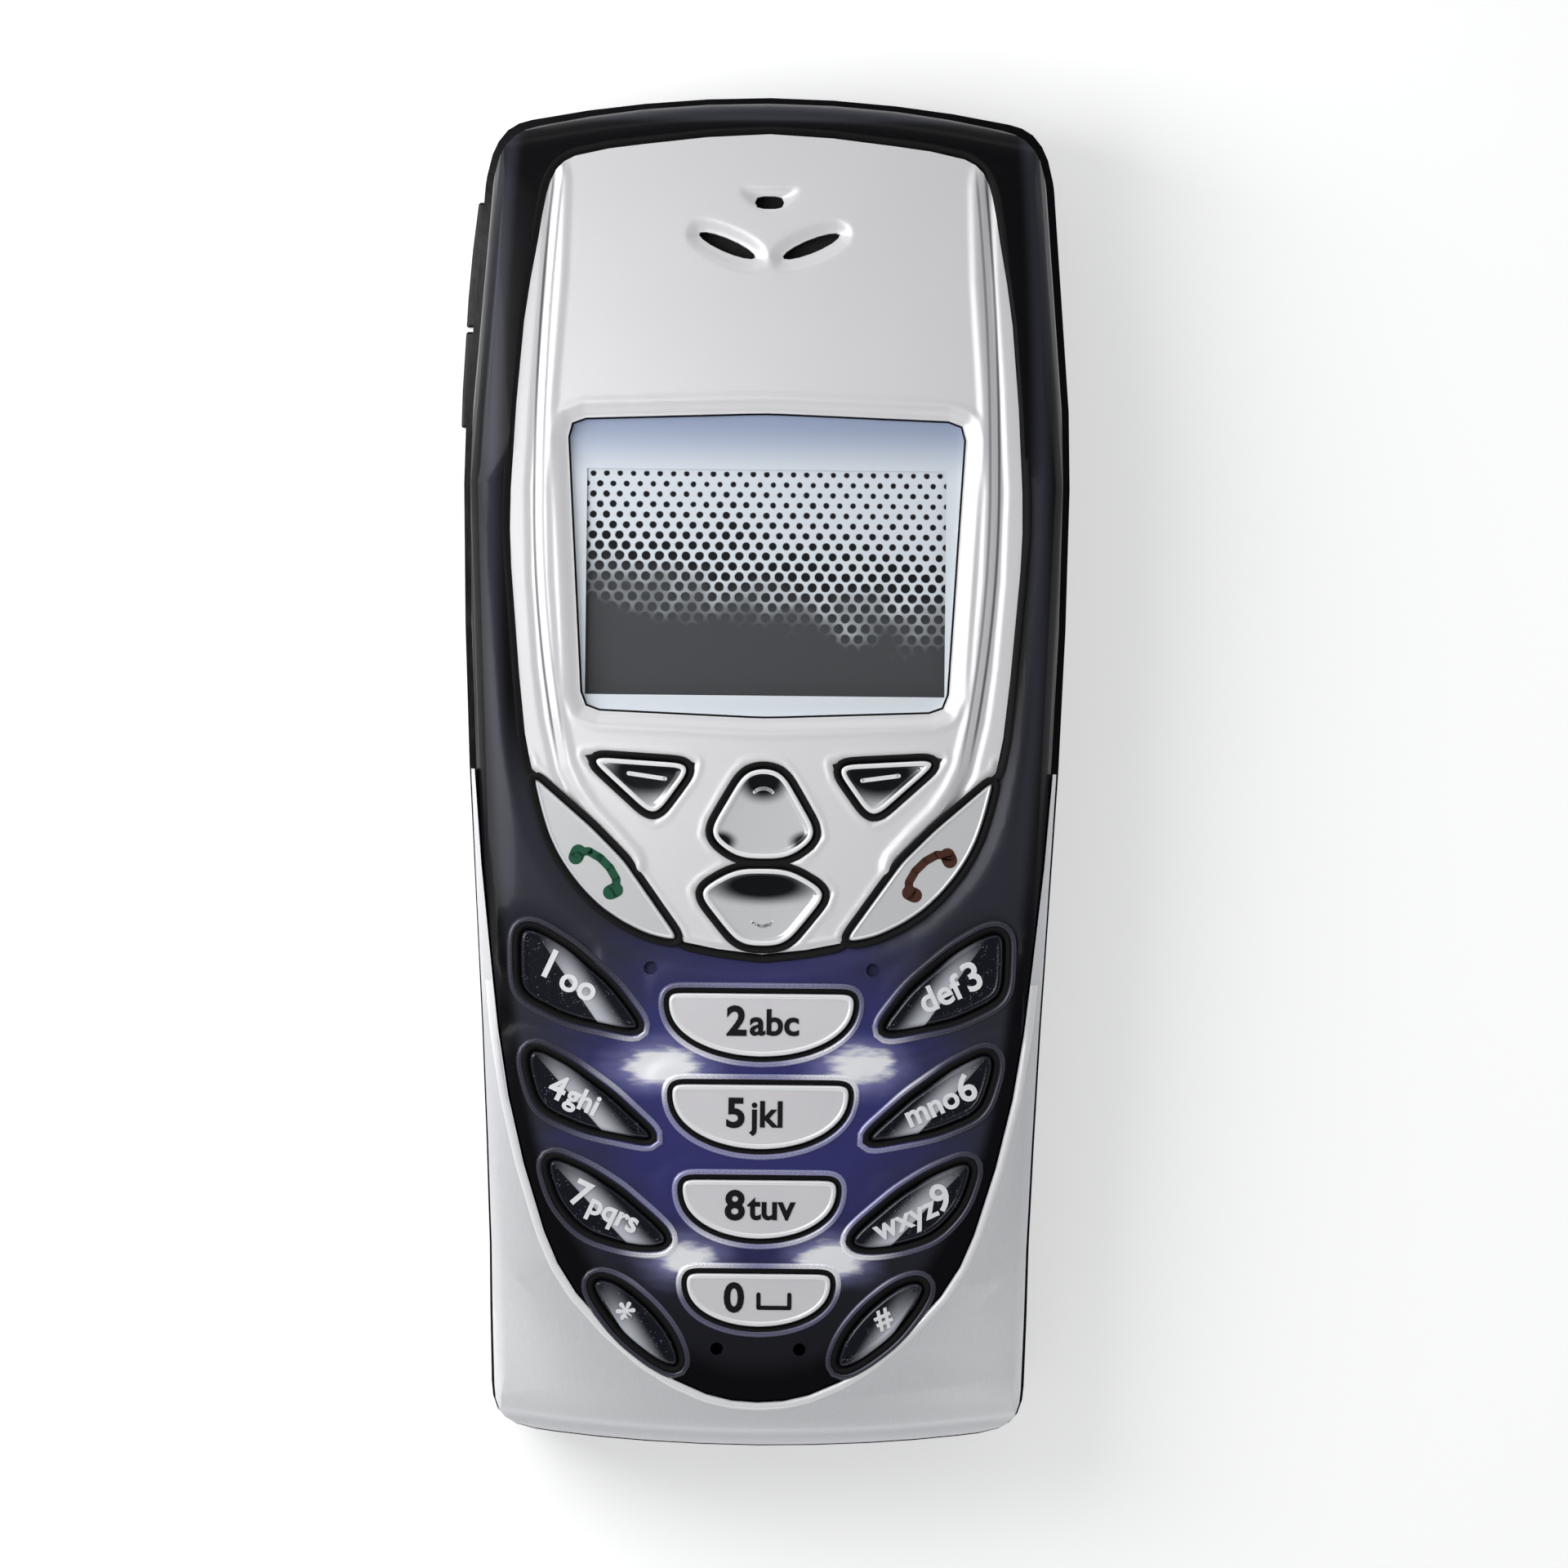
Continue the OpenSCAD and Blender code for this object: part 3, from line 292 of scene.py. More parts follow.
paint(raw_plastic("carrier_white", (0.76, 0.76, 0.72), 0.45, 0.01 * mm), "display_carrier", "power_switch")
paint(raw_plastic("flex_amber", (0.42, 0.2, 0.03), 0.3, 0.004 * mm), "display_flex")
paint(raw_plastic("dome_film", (0.62, 0.57, 0.38), 0.28, 0.003 * mm), "dome_sheet")
paint(raw_plastic("card_white", (0.8, 0.8, 0.77), 0.35, 0.004 * mm), "sim_card")
paint(raw_plastic("battery_grey", (0.09, 0.1, 0.11), 0.42, 0.01 * mm), "battery")
paint(raw_plastic("connector_black", (0.012, 0.012, 0.014), 0.35, 0.01 * mm), "system_connector", "buzzer")
paint(raw_plastic("boot_rubber", (0.015, 0.015, 0.016), 0.6, 0.02 * mm), "earpiece_gasket", "mic_boot")


# The infrared window is a dark red clip-in lens in the top end of the housing.
# It passes only infrared, so it looks nearly black with a ruby tint at its edges.
ruby_lens, place = start_finish("ruby_lens")
end_finish(place, {
    "Base Color": grain(place, 2 * mm).between((0.03, 0.003, 0.004), (0.05, 0.005, 0.006)),
    "Roughness": 0.05 + 0.05 * grain(place, 0.4 * mm), "Coat Weight": 0.6})
moulded("ir_window", ruby_lens, 0.1 * mm)


# The side and end keys are black caps that slide in slots of the housing.
# Hands keep the volume keys bright; the power key is left rough, so that a finger finds it.
key_gloss = black_plastic("key_gloss", (0.007, 0.007, 0.008), 0.08, 0.08)
satin_grey = black_plastic("satin_grey", (0.02, 0.02, 0.022), 0.42, 0.08)
moulded("volume_up_key", key_gloss, 0.3 * mm, 3)
moulded("volume_down_key", key_gloss, 0.3 * mm, 3)
moulded("power_key", satin_grey, 0.3 * mm, 3)


# The display is a reflective panel behind its polariser, with a test pattern of dots.
# The dots stand in slanting rows, and the white between them fades into a dark lower third.
dot_pitch = 0.95 * mm
row_pitch = 1.46 * mm
first_row = 21.3 * mm
picture_height = 16 * mm
glass_top = 16 * mm
reflective_panel, place = start_finish("reflective_panel")
across, up, over = place.axes()
slanted = across / dot_pitch + up / row_pitch
falling = across / dot_pitch - up / row_pitch
cell_u = place.maths("FRACT", slanted) - 0.5
cell_v = place.maths("FRACT", falling) - 0.5
dot_x = (cell_u + cell_v) * (dot_pitch / 2)
dot_y = (cell_u - cell_v) * (row_pitch / 2)
from_dot = place.maths("SQRT", dot_x * dot_x + dot_y * dot_y)
wander = grain(place, 3 * mm, 2.0)
depth = (first_row - up) / picture_height + 0.35 * (wander - 0.5) - across / (130 * mm)
dot_edge = (0.2 + 0.14 * depth.rise(0.05, 0.5) + 0.12 * (grain(place, 0.7 * mm) - 0.5)) * mm
dots = (dot_edge - from_dot).rise(-0.04 * mm, 0.04 * mm)
on_glass = over.rise(glass_top - 0.1 * mm, glass_top - 0.05 * mm)
shown = (1 - up.rise(first_row, first_row + 0.1 * mm)) * on_glass
fade = depth.rise(0.42, 0.72)
dark_third = (0.078, 0.08, 0.084)
paper = fade.between((0.8, 0.84, 0.88), dark_third)
ink = fade.between((0.008, 0.009, 0.011), dark_third)
picture = place.node("Mix", {"data_type": "RGBA"}, {0: shown * dots, 6: paper, 7: ink}, 2)
end_finish(place, {
    "Base Color": picture, "Roughness": 0.5 + 0.1 * grain(place, 0.1 * mm), "Specular IOR Level": 0.08})
paint(reflective_panel, "display_panel")
glass_low = Vector((-13 * mm, 5.3 * mm, glass_top - 1.5 * mm))
glass_high = Vector((13 * mm, 21.8 * mm, glass_top))
glass = bmesh.new()
bmesh.ops.create_cube(glass, size=1, matrix=Matrix.LocRotScale(
    (glass_low + glass_high) / 2, None, glass_high - glass_low))
bmesh.ops.bevel(glass, geom=glass.edges[:], offset=0.08 * mm, segments=2, profile=0.5,
                affect="EDGES", material=-1)
show("display_glass", to_mesh(glass, "display_glass", 20), reflective_panel, "handset")


# The bezel is the dark front moulding that carries the plate and all the keys.
# It is sprayed with flake paint, charcoal at the rim and violet-blue between the keys,
# and its skin dips between the keys and falls towards the plate.
# Its colour also carries painted shade at the rims and painted highlights between the keys.
front_height = 18 * mm
crown_radius = 380 * mm


def crown(y):
    """Height of the phone's curved front at a place along it."""
    return front_height - crown_radius + sqrt(crown_radius ** 2 - y * y)


def flattened(node):
    """A CAD piece with the curve of the front taken out, so that heights count from the front."""
    work = merged(node)
    for vert in work.verts:
        vert.co.z -= crown(vert.co.y)
    return work


def curved(work):
    """Puts the curve of the front back."""
    for vert in work.verts:
        vert.co.z += crown(vert.co.y)
    return work


def cut(work, place, along, faces=None, **clear):
    """Cuts faces, or all that there is, along a plane."""
    if faces is None:
        parts = [*work.verts, *work.edges, *work.faces]
    else:
        parts = list(dict.fromkeys(part for face in faces for part in (*face.verts, *face.edges, face)))
    return bmesh.ops.bisect_plane(work, geom=parts, dist=mm / 10000,
                                  plane_co=place, plane_no=along, **clear)


def gridded(work, faces, axis, spacing, low, high):
    """Cuts faces into strips, halving them again and again, so that they can be shaped."""
    if high[axis] - low[axis] < spacing:
        return faces
    along = Vector((axis == 0, axis == 1, 0))
    middle = (low + high) / 2
    halves = cut(work, middle, along, faces)["geom"]
    pieces = [part for part in halves if isinstance(part, bmesh.types.BMFace)]
    below = [face for face in pieces if face.calc_center_median()[axis] < middle[axis]]
    above = [face for face in pieces if face.calc_center_median()[axis] >= middle[axis]]
    return (gridded(work, below, axis, spacing, low, middle) if below else []) + (
        gridded(work, above, axis, spacing, middle, high) if above else [])


def edge_points(edges):
    """Points along edges, close together, to measure from."""
    points = []
    for edge in edges:
        a, b = edge.verts[0].co, edge.verts[1].co
        steps = 1 + int((b - a).length / (0.1 * mm))
        points += [a.lerp(b, k / steps).to_2d() for k in range(steps + 1)]
    tree = KDTree(len(points))
    for i, point in enumerate(points):
        tree.insert((point.x, point.y, 0), i)
    tree.balance()
    return lambda x, y: tree.find((x, y, 0))[2]


def ease(value, low, high):
    """0 below low, 1 above high, and smooth between."""
    t = min(max((value - low) / (high - low), 0), 1)
    return t * t * (3 - 2 * t)


# Places of the painted highlights between the key rows: x, y, width and height in mm.
highlight_spots = [(6.9, -21.0, 3.6, 1.9), (5.3, -34.7, 3.0, 1.8)]
pearl_paint, place = start_finish("pearl_paint")
flake = grain(place, 0.05 * mm, 1.0)
cloud = grain(place, 5 * mm, 3.0, (1, 2.2, 1))
across, up = place.axes()[:2]


def around(across, up, x, y, wide, high):
    """How far a point lies from a place, as a share of an oval round it."""
    u = (across - x * mm) / (wide * mm)
    v = (up - y * mm) / (high * mm)
    return across.maths("SQRT", u * u + v * v)


rim_half, widest_up, rim_bend = 21.1 * mm, 20.5 * mm, 576 * mm
rim_line = rim_half - (up - widest_up) * (up - widest_up) / rim_bend
from_rim = rim_line - across.maths("ABSOLUTE", across)
# Painted shade and sheen: the charcoal is black at the outer rim and beside the plate, lighter between them
# and across the top end, and darker towards the bottom.
beside_plate = from_rim.rise(1.5 * mm, 2.6 * mm) * up.rise(-4 * mm, 6 * mm)
sheen = from_rim.rise(0.4 * mm, 1.6 * mm) * (1 - beside_plate) + up.rise(46.2 * mm, 46.8 * mm)
sheen = sheen * (0.35 + 0.65 * up.rise(-42 * mm, -25 * mm))
charcoal = sheen.between((0.004, 0.004, 0.005), (0.034, 0.035, 0.047))
violet = 1 - (around(across, up, 0, -22, 15, 15) + 0.5 * (cloud - 0.5)).rise(0.5, 1.15)
paint_tone = (violet * (1 - 0.3 * up.rise(-19 * mm, -13.5 * mm))).cover(charcoal, (0.045, 0.045, 0.18))
# Painted shade: near black along the bezel's lower edge, where it meets the lower cover.
low_rim_shade = around(across, up, 0, -12, 19.3, 32.9).rise(0.9, 0.965) * (1 - up.rise(-15 * mm, -11 * mm))
streak = grain(place, 0.5 * mm, 3.0, (0.25, 1, 1))
# Painted highlights: pale streaky patches with white cores between the key rows of the bezel.
highlight_halo, highlight_core = 0.0, 0.0
for x, y, wide, high in highlight_spots:
    for side in (-1, 1):
        spot = around(across, up, side * x, y, wide, high) + 0.7 * (cloud - 0.5)
        highlight_halo = 0.75 * (1 - spot.rise(0.1, 1.5)) * (0.5 + streak) + highlight_halo
        highlight_core = 1.0 * (1 - (spot + 0.8 * (streak - 0.5)).rise(0.4, 0.85)) + highlight_core
paint_tone = highlight_halo.cover(paint_tone, (0.36, 0.36, 0.68))
paint_tone = highlight_core.cover(paint_tone, (0.97, 0.98, 1))
paint_tone = low_rim_shade.cover(paint_tone, (0.003, 0.003, 0.004))
end_finish(place, {
    "Base Color": paint_tone, "Metallic": 0.2, "Roughness": 0.24 + 0.12 * flake,
    "Normal": bumps(flake, 0.003 * mm), "Specular IOR Level": 0.18,
    "Coat Weight": 0.08, "Coat Roughness": 0.06})

bezel = flattened("front_bezel")
bmesh.ops.dissolve_limit(bezel, angle_limit=radians(0.5), verts=bezel.verts, edges=bezel.edges)


def facing_up(face):
    return face.normal.z > 0.9


def upright(face):
    return abs(face.normal.z) < 0.3


def level(verts):
    return all(abs(vert.co.z) < 0.06 * mm for vert in verts)


def on_front(face):
    return facing_up(face) and level(face.verts)


rims = [edge for edge in bezel.edges if level(edge.verts)
        and any(map(facing_up, edge.link_faces)) and any(map(upright, edge.link_faces))]
# The skin is shaped by how far it lies from the plate's opening and from the openings of the keys.
# The two microphone holes and the two dimples are left out.
opening_half, opening_end = 18.7 * mm, -13.35 * mm
inner = [edge for edge in rims if all(v.co.y > opening_end for v in edge.verts)
         and max(abs(v.co.x) for v in edge.verts) < opening_half]
bezel_low, bezel_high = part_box("front_bezel")
key_rims = [edge for edge in rims if edge not in inner
            and all(abs(v.co.x) < 17.9 * mm and -43.3 * mm < v.co.y < -10.5 * mm for v in edge.verts)
            and not any(abs(v.co.x) < 4 * mm and v.co.y < -40 * mm for v in edge.verts)
            and not any(7 * mm < abs(v.co.x) < 9 * mm and v.co.y > -15 * mm for v in edge.verts)]
to_plate = edge_points(inner)
to_key = edge_points(key_rims)
skin = [face for face in bezel.faces if on_front(face)]
for axis in (0, 1):
    skin = gridded(bezel, skin, axis, 0.4 * mm, bezel_low, bezel_high)
bmesh.ops.triangulate(bezel, faces=[face for face in skin if len(face.verts) > 4])
for vert in {v for face in bezel.faces if on_front(face) for v in face.verts}:
    x, y = vert.co.x, vert.co.y
    key_away, plate_away = to_key(x, y), to_plate(x, y)
    dish = 0.12 * ease(key_away, 0.8 * mm, 2.2 * mm)
    fall = 0.3 * (1 - ease(plate_away, 0, 1.6 * mm))
    beyond = rim_half - (y - widest_up) ** 2 / rim_bend - abs(x)
    roll = 0.3 * (1 - ease(beyond, 0, 2.6 * mm)) * ease(y, -16 * mm, -4 * mm)
    vert.co.z = (-dish * (1 - ease(y, -14 * mm, -8 * mm)) - fall - roll) * mm
moulded("front_bezel", pearl_paint, 0.15 * mm, 2, work=curved(bezel))


# The face plate is a thin sheet pressed with a raised middle panel, and glued in the bezel.
# It is bead-blasted and sprayed satin silver, with brighter edges where the press drew it.
satin_silver, place = start_finish("satin_silver")
blast = grain(place, 0.09 * mm, 2.0)
tint = grain(place, 14 * mm, 2.0)
across, up = place.axes()[:2]
bow = place.maths("MAXIMUM", (up - 20 * mm) / (21 * mm), (20 * mm - up) / (14 * mm))
from_fold = place.maths("ABSOLUTE", across) - (16.3 * mm - bow * bow * mm)
# Painted shade: two dark lines along the fold of the raised panel, in its crease.
crease_shade = 0.0
for line, dark in ((-0.4, 0.55), (0.25, 0.85)):
    away = place.maths("ABSOLUTE", from_fold - line * mm)
    crease_shade = dark * (1 - away.rise(0.03 * mm, 0.16 * mm)) + crease_shade
crease_shade = crease_shade * up.rise(-1 * mm, 4 * mm) * (1 - up.rise(41 * mm, 44 * mm))
tone = tint.between((0.76, 0.765, 0.78), (0.82, 0.8, 0.815))
end_finish(place, {
    "Base Color": crease_shade.cover(tone, (0.06, 0.06, 0.065)), "Metallic": 0.2,
    "Roughness": 0.33 + 0.1 * blast, "Normal": bumps(blast, 0.004 * mm)})

plate_low, plate_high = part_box("face_plate")
plate = flattened("face_plate")
bmesh.ops.dissolve_limit(plate, angle_limit=radians(0.5), verts=plate.verts, edges=plate.edges)


def hump(value, middle, half):
    """1 at the middle, falling to 0 at half a width to each side."""
    return 1 - ease(abs(value - middle), 0, half)


def lowest(part):
    return min(vert.co.z for vert in part.verts)


steps = [edge for edge in plate.edges if lowest(edge) > -0.2 * mm
         and any(upright(face) and lowest(face) > -0.5 * mm for face in edge.link_faces)]
walls = [edge for edge in plate.edges if lowest(edge) > -0.5 * mm
         and any(map(facing_up, edge.link_faces))
         and any(upright(face) and lowest(face) < -0.8 * mm for face in edge.link_faces)]
ear = [edge for edge in walls if all(v.co.y > 33 * mm and abs(v.co.x) < 6 * mm for v in edge.verts)]
slits = [edge for edge in ear if all(v.co.y < 39.6 * mm for v in edge.verts)]
window = [edge for edge in walls
          if all(3 * mm < v.co.y < 26 * mm and abs(v.co.x) < 15 * mm for v in edge.verts)]
to_step, to_slit, to_window = edge_points(steps), edge_points(slits), edge_points(window)
keys_on_plate = [edge for edge in walls if all(v.co.y < 2 * mm for v in edge.verts)
                 and not any(edge in group for group in (ear, window))]
to_pad = edge_points(keys_on_plate)
skin = [face for face in plate.faces if facing_up(face) and lowest(face) > -0.47 * mm]
for axis in (0, 1):
    skin = gridded(plate, skin, axis, 0.25 * mm, plate_low, plate_high)
skin = {vert for face in skin for vert in face.verts}
frame_line = {vert for vert in skin if to_window(vert.co.x, vert.co.y) < 0.002 * mm}
# The edge of the window is drawn round at its corners, as a press leaves it.
for again in range(70):
    drawn = {}
    for vert in frame_line:
        near = [edge.other_vert(vert).co for edge in vert.link_edges if edge.other_vert(vert) in frame_line]
        drawn[vert] = sum(near, vert.co * 2) / (len(near) + 2)
    for vert, spot in drawn.items():
        vert.co.xy = spot.xy
for vert in skin:
    x, y = vert.co.x, vert.co.y
    inside = to_step(x, y) * (1 if vert.co.z > -0.25 * mm else -1)
    panel = ease(inside, -0.4 * mm, 0.4 * mm)
    crease = 0.14 * hump(inside, 0.6 * mm, 0.6 * mm) - 0.14 * hump(inside, -0.5 * mm, 0.5 * mm)
    slit = 0.42 * (1 - ease(to_slit(x, y), 0, 1.0 * mm))
    smile = sqrt((x / 2.2) ** 2 + (y - 40.75 * mm - 0.16 * x * x / mm) ** 2 * 1.6)
    hollow = 0.42 * (1 - ease(smile, 0.35 * mm, 1.05 * mm))
    window_away, pad_away = to_window(x, y), to_pad(x, y)
    slope = 0.42 * (1 - ease(window_away, 0.05 * mm, 0.95 * mm))
    slope -= 0.07 * hump(window_away, 1.15 * mm, 0.35 * mm)
    pad = 0.1 * (1 - ease(pad_away, 0, 0.25 * mm)) - 0.05 * hump(pad_away, 0.4 * mm, 0.3 * mm)
    vert.co.z = (-0.4 + 0.3 * panel + crease - slit - hollow - slope - pad) * mm
bmesh.ops.remove_doubles(plate, verts=plate.verts, dist=mm / 1000)
moulded("face_plate", satin_silver, 0.12 * mm, 2, 50, work=curved(plate))


# The mesh behind the earpiece slots keeps dust out of the loudspeaker.
# It is a woven black screen, with its threads about a fifth of a millimetre apart.
ear_screen, place = start_finish("ear_screen")
warp = place.node("TexWave", {"bands_direction": "X"}, {"Vector": place, "Scale": 1600.0}, 1)
weft = place.node("TexWave", {"bands_direction": "Y"}, {"Vector": place, "Scale": 1600.0}, 1)
thread = warp * weft
end_finish(place, {
    "Base Color": thread.between((0.004, 0.004, 0.004), (0.02, 0.02, 0.022)),
    "Roughness": 0.7 - 0.2 * thread, "Normal": bumps(thread, 0.03 * mm)})
paint(ear_screen, "earpiece_mesh")


# The display window is clear moulded acrylic, hard-coated so that pockets don't scratch it.
# It lies a little below the plate and shows the panel under it.
clear_acrylic, place = start_finish("clear_acrylic")
edge_on = place.node("LayerWeight", {}, {"Blend": 0.5}, "Facing")
sheen = 0.03 + 0.6 * edge_on.maths("POWER", edge_on, 4)
through = place.node("BsdfTransparent", {}, {"Color": (0.97, 0.98, 0.99, 1)})
skin = place.node("BsdfPrincipled", {}, {
    "Base Color": (0.9, 0.92, 0.95, 1), "Metallic": 1.0,
    "Roughness": 0.04 + 0.05 * grain(place, 0.6 * mm)})
mixed = place.node("MixShader", {}, {0: sheen, 1: through, 2: skin})
place.node("OutputMaterial", {}, {"Surface": mixed})
pane = merged("display_window")
bmesh.ops.delete(pane, geom=[face for face in pane.faces if face.normal.z < -0.5], context="FACES")
pane = show("window_pane", to_mesh(pane, "window_pane", 3), clear_acrylic, "front_cover")
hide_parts("display_window")


# The window's back is printed with a pale silver mask that leaves only the panel's picture open.
# The print is bluer towards the top of the phone.
pale_print, place = start_finish("pale_print")
up = place.axes()[1]
end_finish(place, {
    "Base Color": up.rise(20.5 * mm, 25 * mm).between((0.84, 0.88, 0.91), (0.38, 0.44, 0.6)),
    "Roughness": 0.35 + 0.1 * grain(place, 0.1 * mm)})
open_half, open_low, open_high = 12.8 * mm, 5.4 * mm, 21.5 * mm
strips = 40
mask = flattened("display_window")
cut(mask, (0, 0, -0.9 * mm), (0, 0, 1), clear_inner=True, clear_outer=True)
bmesh.ops.contextual_create(mask, geom=mask.edges[:])
for x in (-open_half, open_half):
    cut(mask, (x, 0, 0), (1, 0, 0))
for i in range(strips):
    cut(mask, (0, open_low + (open_high - open_low) * i / (strips - 1), 0), (0, 1, 0))
opened = [face for face in mask.faces if abs(face.calc_center_median().x) < open_half
          and open_low < face.calc_center_median().y < open_high]
bmesh.ops.delete(mask, geom=opened, context="FACES")
bmesh.ops.recalc_face_normals(mask, faces=mask.faces)
for vert in mask.verts:
    vert.co.z = -1.275 * mm
show("window_print", to_mesh(curved(mask), "window_print"), pale_print, "front_cover")


# The lower cover is the silver frame outside the bezel at the bottom of the phone.
# It is brushed along its length, and its outer edge turns down in a soft fold. Its sides are painted lighter
# as a highlight.
brushed_silver, place = start_finish("brushed_silver")
brush = grain(place, 0.07 * mm, 3.0, (1, 0.02, 1))
across, up = place.axes()[:2]
# Painted highlight: the cover is lighter outside the bezel, except at its bottom end; the brushing varies
# its tone as well.
outer_highlight = around(across, up, 0, -12, 19.3, 32.9).rise(1.02, 1.3) * up.rise(-47.5 * mm, -44 * mm)
brush_and_highlight = 0.8 * outer_highlight + 0.5 * (brush - 0.4)
end_finish(place, {
    "Base Color": brush_and_highlight.between((0.74, 0.74, 0.76), (0.96, 0.96, 0.965)), "Metallic": 0.25,
    "Roughness": 0.3 + 0.16 * brush, "Normal": bumps(brush, 0.004 * mm)})
moulded("lower_cover", brushed_silver, 0.3 * mm, 3)


def outline(node, depth, soft=5):
    """One flat face with the outline that a CAD piece has at a depth below the front."""
    work = flattened(node)
    cut(work, (0, 0, depth), (0, 0, 1), clear_inner=True, clear_outer=True)
    loops = []
    left = set(work.verts)
    while left:
        loops.append([left.pop()])
        for vert in loops[-1]:
            met = [edge.other_vert(vert) for edge in vert.link_edges if edge.other_vert(vert) in left]
            loops[-1] += met
            left -= set(met)
    outer = max(loops, key=lambda loop: max(v.co.y for v in loop) - min(v.co.y for v in loop))
    bmesh.ops.delete(work, geom=[v for loop in loops if loop is not outer for v in loop], context="VERTS")
    bmesh.ops.contextual_create(work, geom=work.edges[:])
    bmesh.ops.dissolve_limit(work, angle_limit=radians(3), verts=work.verts, edges=work.edges)
    bmesh.ops.remove_doubles(work, verts=work.verts, dist=0.12 * mm)
    for edge in work.edges[:]:
        cuts = int(edge.calc_length() / (0.3 * mm))
        if cuts:
            bmesh.ops.subdivide_edges(work, edges=[edge], cuts=cuts)
    for again in range(soft):
        bmesh.ops.smooth_vert(work, verts=work.verts, factor=0.5, use_axis_x=True, use_axis_y=True)
    work.faces.ensure_lookup_table()
    work.faces[0].normal_update()
    if work.faces[0].normal.z < 0:
        work.faces[0].normal_flip()
    return work


def step_in(work, step, height, even=True):
    """Draws the middle face of an outline in, or out where the step is negative, and sets its height."""
    middle = max(work.faces, key=lambda face: len(face.verts))
    if step:
        bmesh.ops.inset_region(work, faces=[middle], thickness=step, use_even_offset=even, use_boundary=True)
        bmesh.ops.remove_doubles(work, verts=middle.verts, dist=0.08 * mm)
        middle = max(work.faces, key=lambda face: len(face.verts))
    for vert in middle.verts:
        vert.co.z = height
    return middle


def band(work, rows):
    """A ring round an outline: each row is how far outside the outline it runs, and how high."""
    middle = step_in(work, -rows[0][0] * mm, rows[0][1] * mm)
    bmesh.ops.delete(work, geom=[face for face in work.faces if face is not middle], context="FACES")
    for (before, _), (out, height) in zip(rows, rows[1:]):
        middle = step_in(work, (before - out) * mm, height * mm)
    bmesh.ops.delete(work, geom=[middle], context="FACES")
    return work


def show_ring(name, ring, finish, body):
    show(name, to_mesh(curved(ring), name, 60), finish, body)


# The lip along the joint of the bezel and the lower cover is painted near white as a highlight.
lip_rows = [(0.8, -0.3), (0.75, 0.0), (0.6, 0.07), (0.4, 0.08), (0.25, 0.02), (0.2, -0.3)]
lip = band(outline("front_bezel", -3 * mm, 3), lip_rows)
cut(lip, (0, -15 * mm, 0), (0, 1, 0), clear_outer=True)
cover_skin = BVHTree.FromBMesh(flattened("lower_cover"))
for vert in lip.verts:
    ground = cover_skin.ray_cast((vert.co.x, vert.co.y, 20 * mm), (0, 0, -1))[0]
    vert.co.z += ground.z if ground else -0.2 * mm
highlight_rim, place = start_finish("highlight_rim")
end_finish(place, {
    "Base Color": grain(place, 1 * mm).between((0.9, 0.9, 0.91), (0.95, 0.95, 0.955)), "Metallic": 0.15,
    "Roughness": 0.15 + 0.1 * grain(place, 0.1 * mm)})
show_ring("lower_cover_lip", lip, highlight_rim, "handset")


# The number keys are hard caps on one rubber mat, each in its own opening of the bezel.
# The side ones are speckled black with white print, the middle ones satin silver with black.
key_level = -0.5 * mm


def key_cap(node, finish, rings, even=True):
    """A key: its flange and post from the CAD, and over them a moulded cap with a shaped top.
    A ring is how far in from the last one the top steps, and how high it then stands."""
    cap = outline(node, key_level)
    bmesh.ops.extrude_discrete_faces(cap, faces=cap.faces[:])
    for step, height in rings:
        step_in(cap, step * mm, height * mm, even)
    stem = flattened(node)
    cut(stem, (0, 0, key_level), (0, 0, 1), clear_outer=True)
    foot = to_mesh(stem, node + "_foot")
    cap.from_mesh(foot)
    bpy.data.meshes.remove(foot)
    piece = show(node + "_cap", to_mesh(curved(cap), node + "_cap"), finish, body_of(node))
    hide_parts(node)


def laid_on(mesh, x, y, turn, lift, finish, node):
    """Puts a flat print on a key, where it follows the curve of the front."""
    mesh.transform(Matrix.Translation((x, y, 0)) @ Matrix.Rotation(turn, 4, "Z"))
    for vert in mesh.vertices:
        vert.co.z += crown(vert.co.y) + lift
    show(mesh.name, mesh, finish, body_of(node))


def lettering(name, words, size, weight):
    """A flat mesh of printed characters."""
    letters = bpy.data.curves.new(name, "FONT")
    letters.body = words
    letters.size = size
    letters.align_x = "CENTER"
    letters.align_y = "CENTER"
    letters.offset = weight
    letters.extrude = 0.02 * mm
    letters.resolution_u = 4
    drawn = bpy.data.objects.new(name, letters)
    bpy.context.scene.collection.objects.link(drawn)
    bpy.context.view_layer.update()
    mesh = bpy.data.meshes.new_from_object(drawn.evaluated_get(bpy.context.evaluated_depsgraph_get()))
    bpy.data.objects.remove(drawn)
    mesh.name = name
    return mesh


def stroke(name, paths, width):
    """A flat mesh of printed lines with round ends, each along its own path."""
    work = bmesh.new()
    for path in paths:
        points = [Vector((x * mm, y * mm, 0.02 * mm)) for x, y in path]
        for a, b in zip(points, points[1:]):
            side = (b - a).cross(Vector((0, 0, 1))).normalized() * width / 2
            work.faces.new([work.verts.new(p) for p in (a + side, b + side, b - side, a - side)])
        for point in points:
            bmesh.ops.create_circle(work, cap_ends=True, segments=16, radius=width / 2,
                                    matrix=Matrix.Translation(point * 0.999))
    bmesh.ops.recalc_face_normals(work, faces=work.faces)
    for face in work.faces:
        if face.normal.z < 0:
            face.normal_flip()
    return to_mesh(work, name)


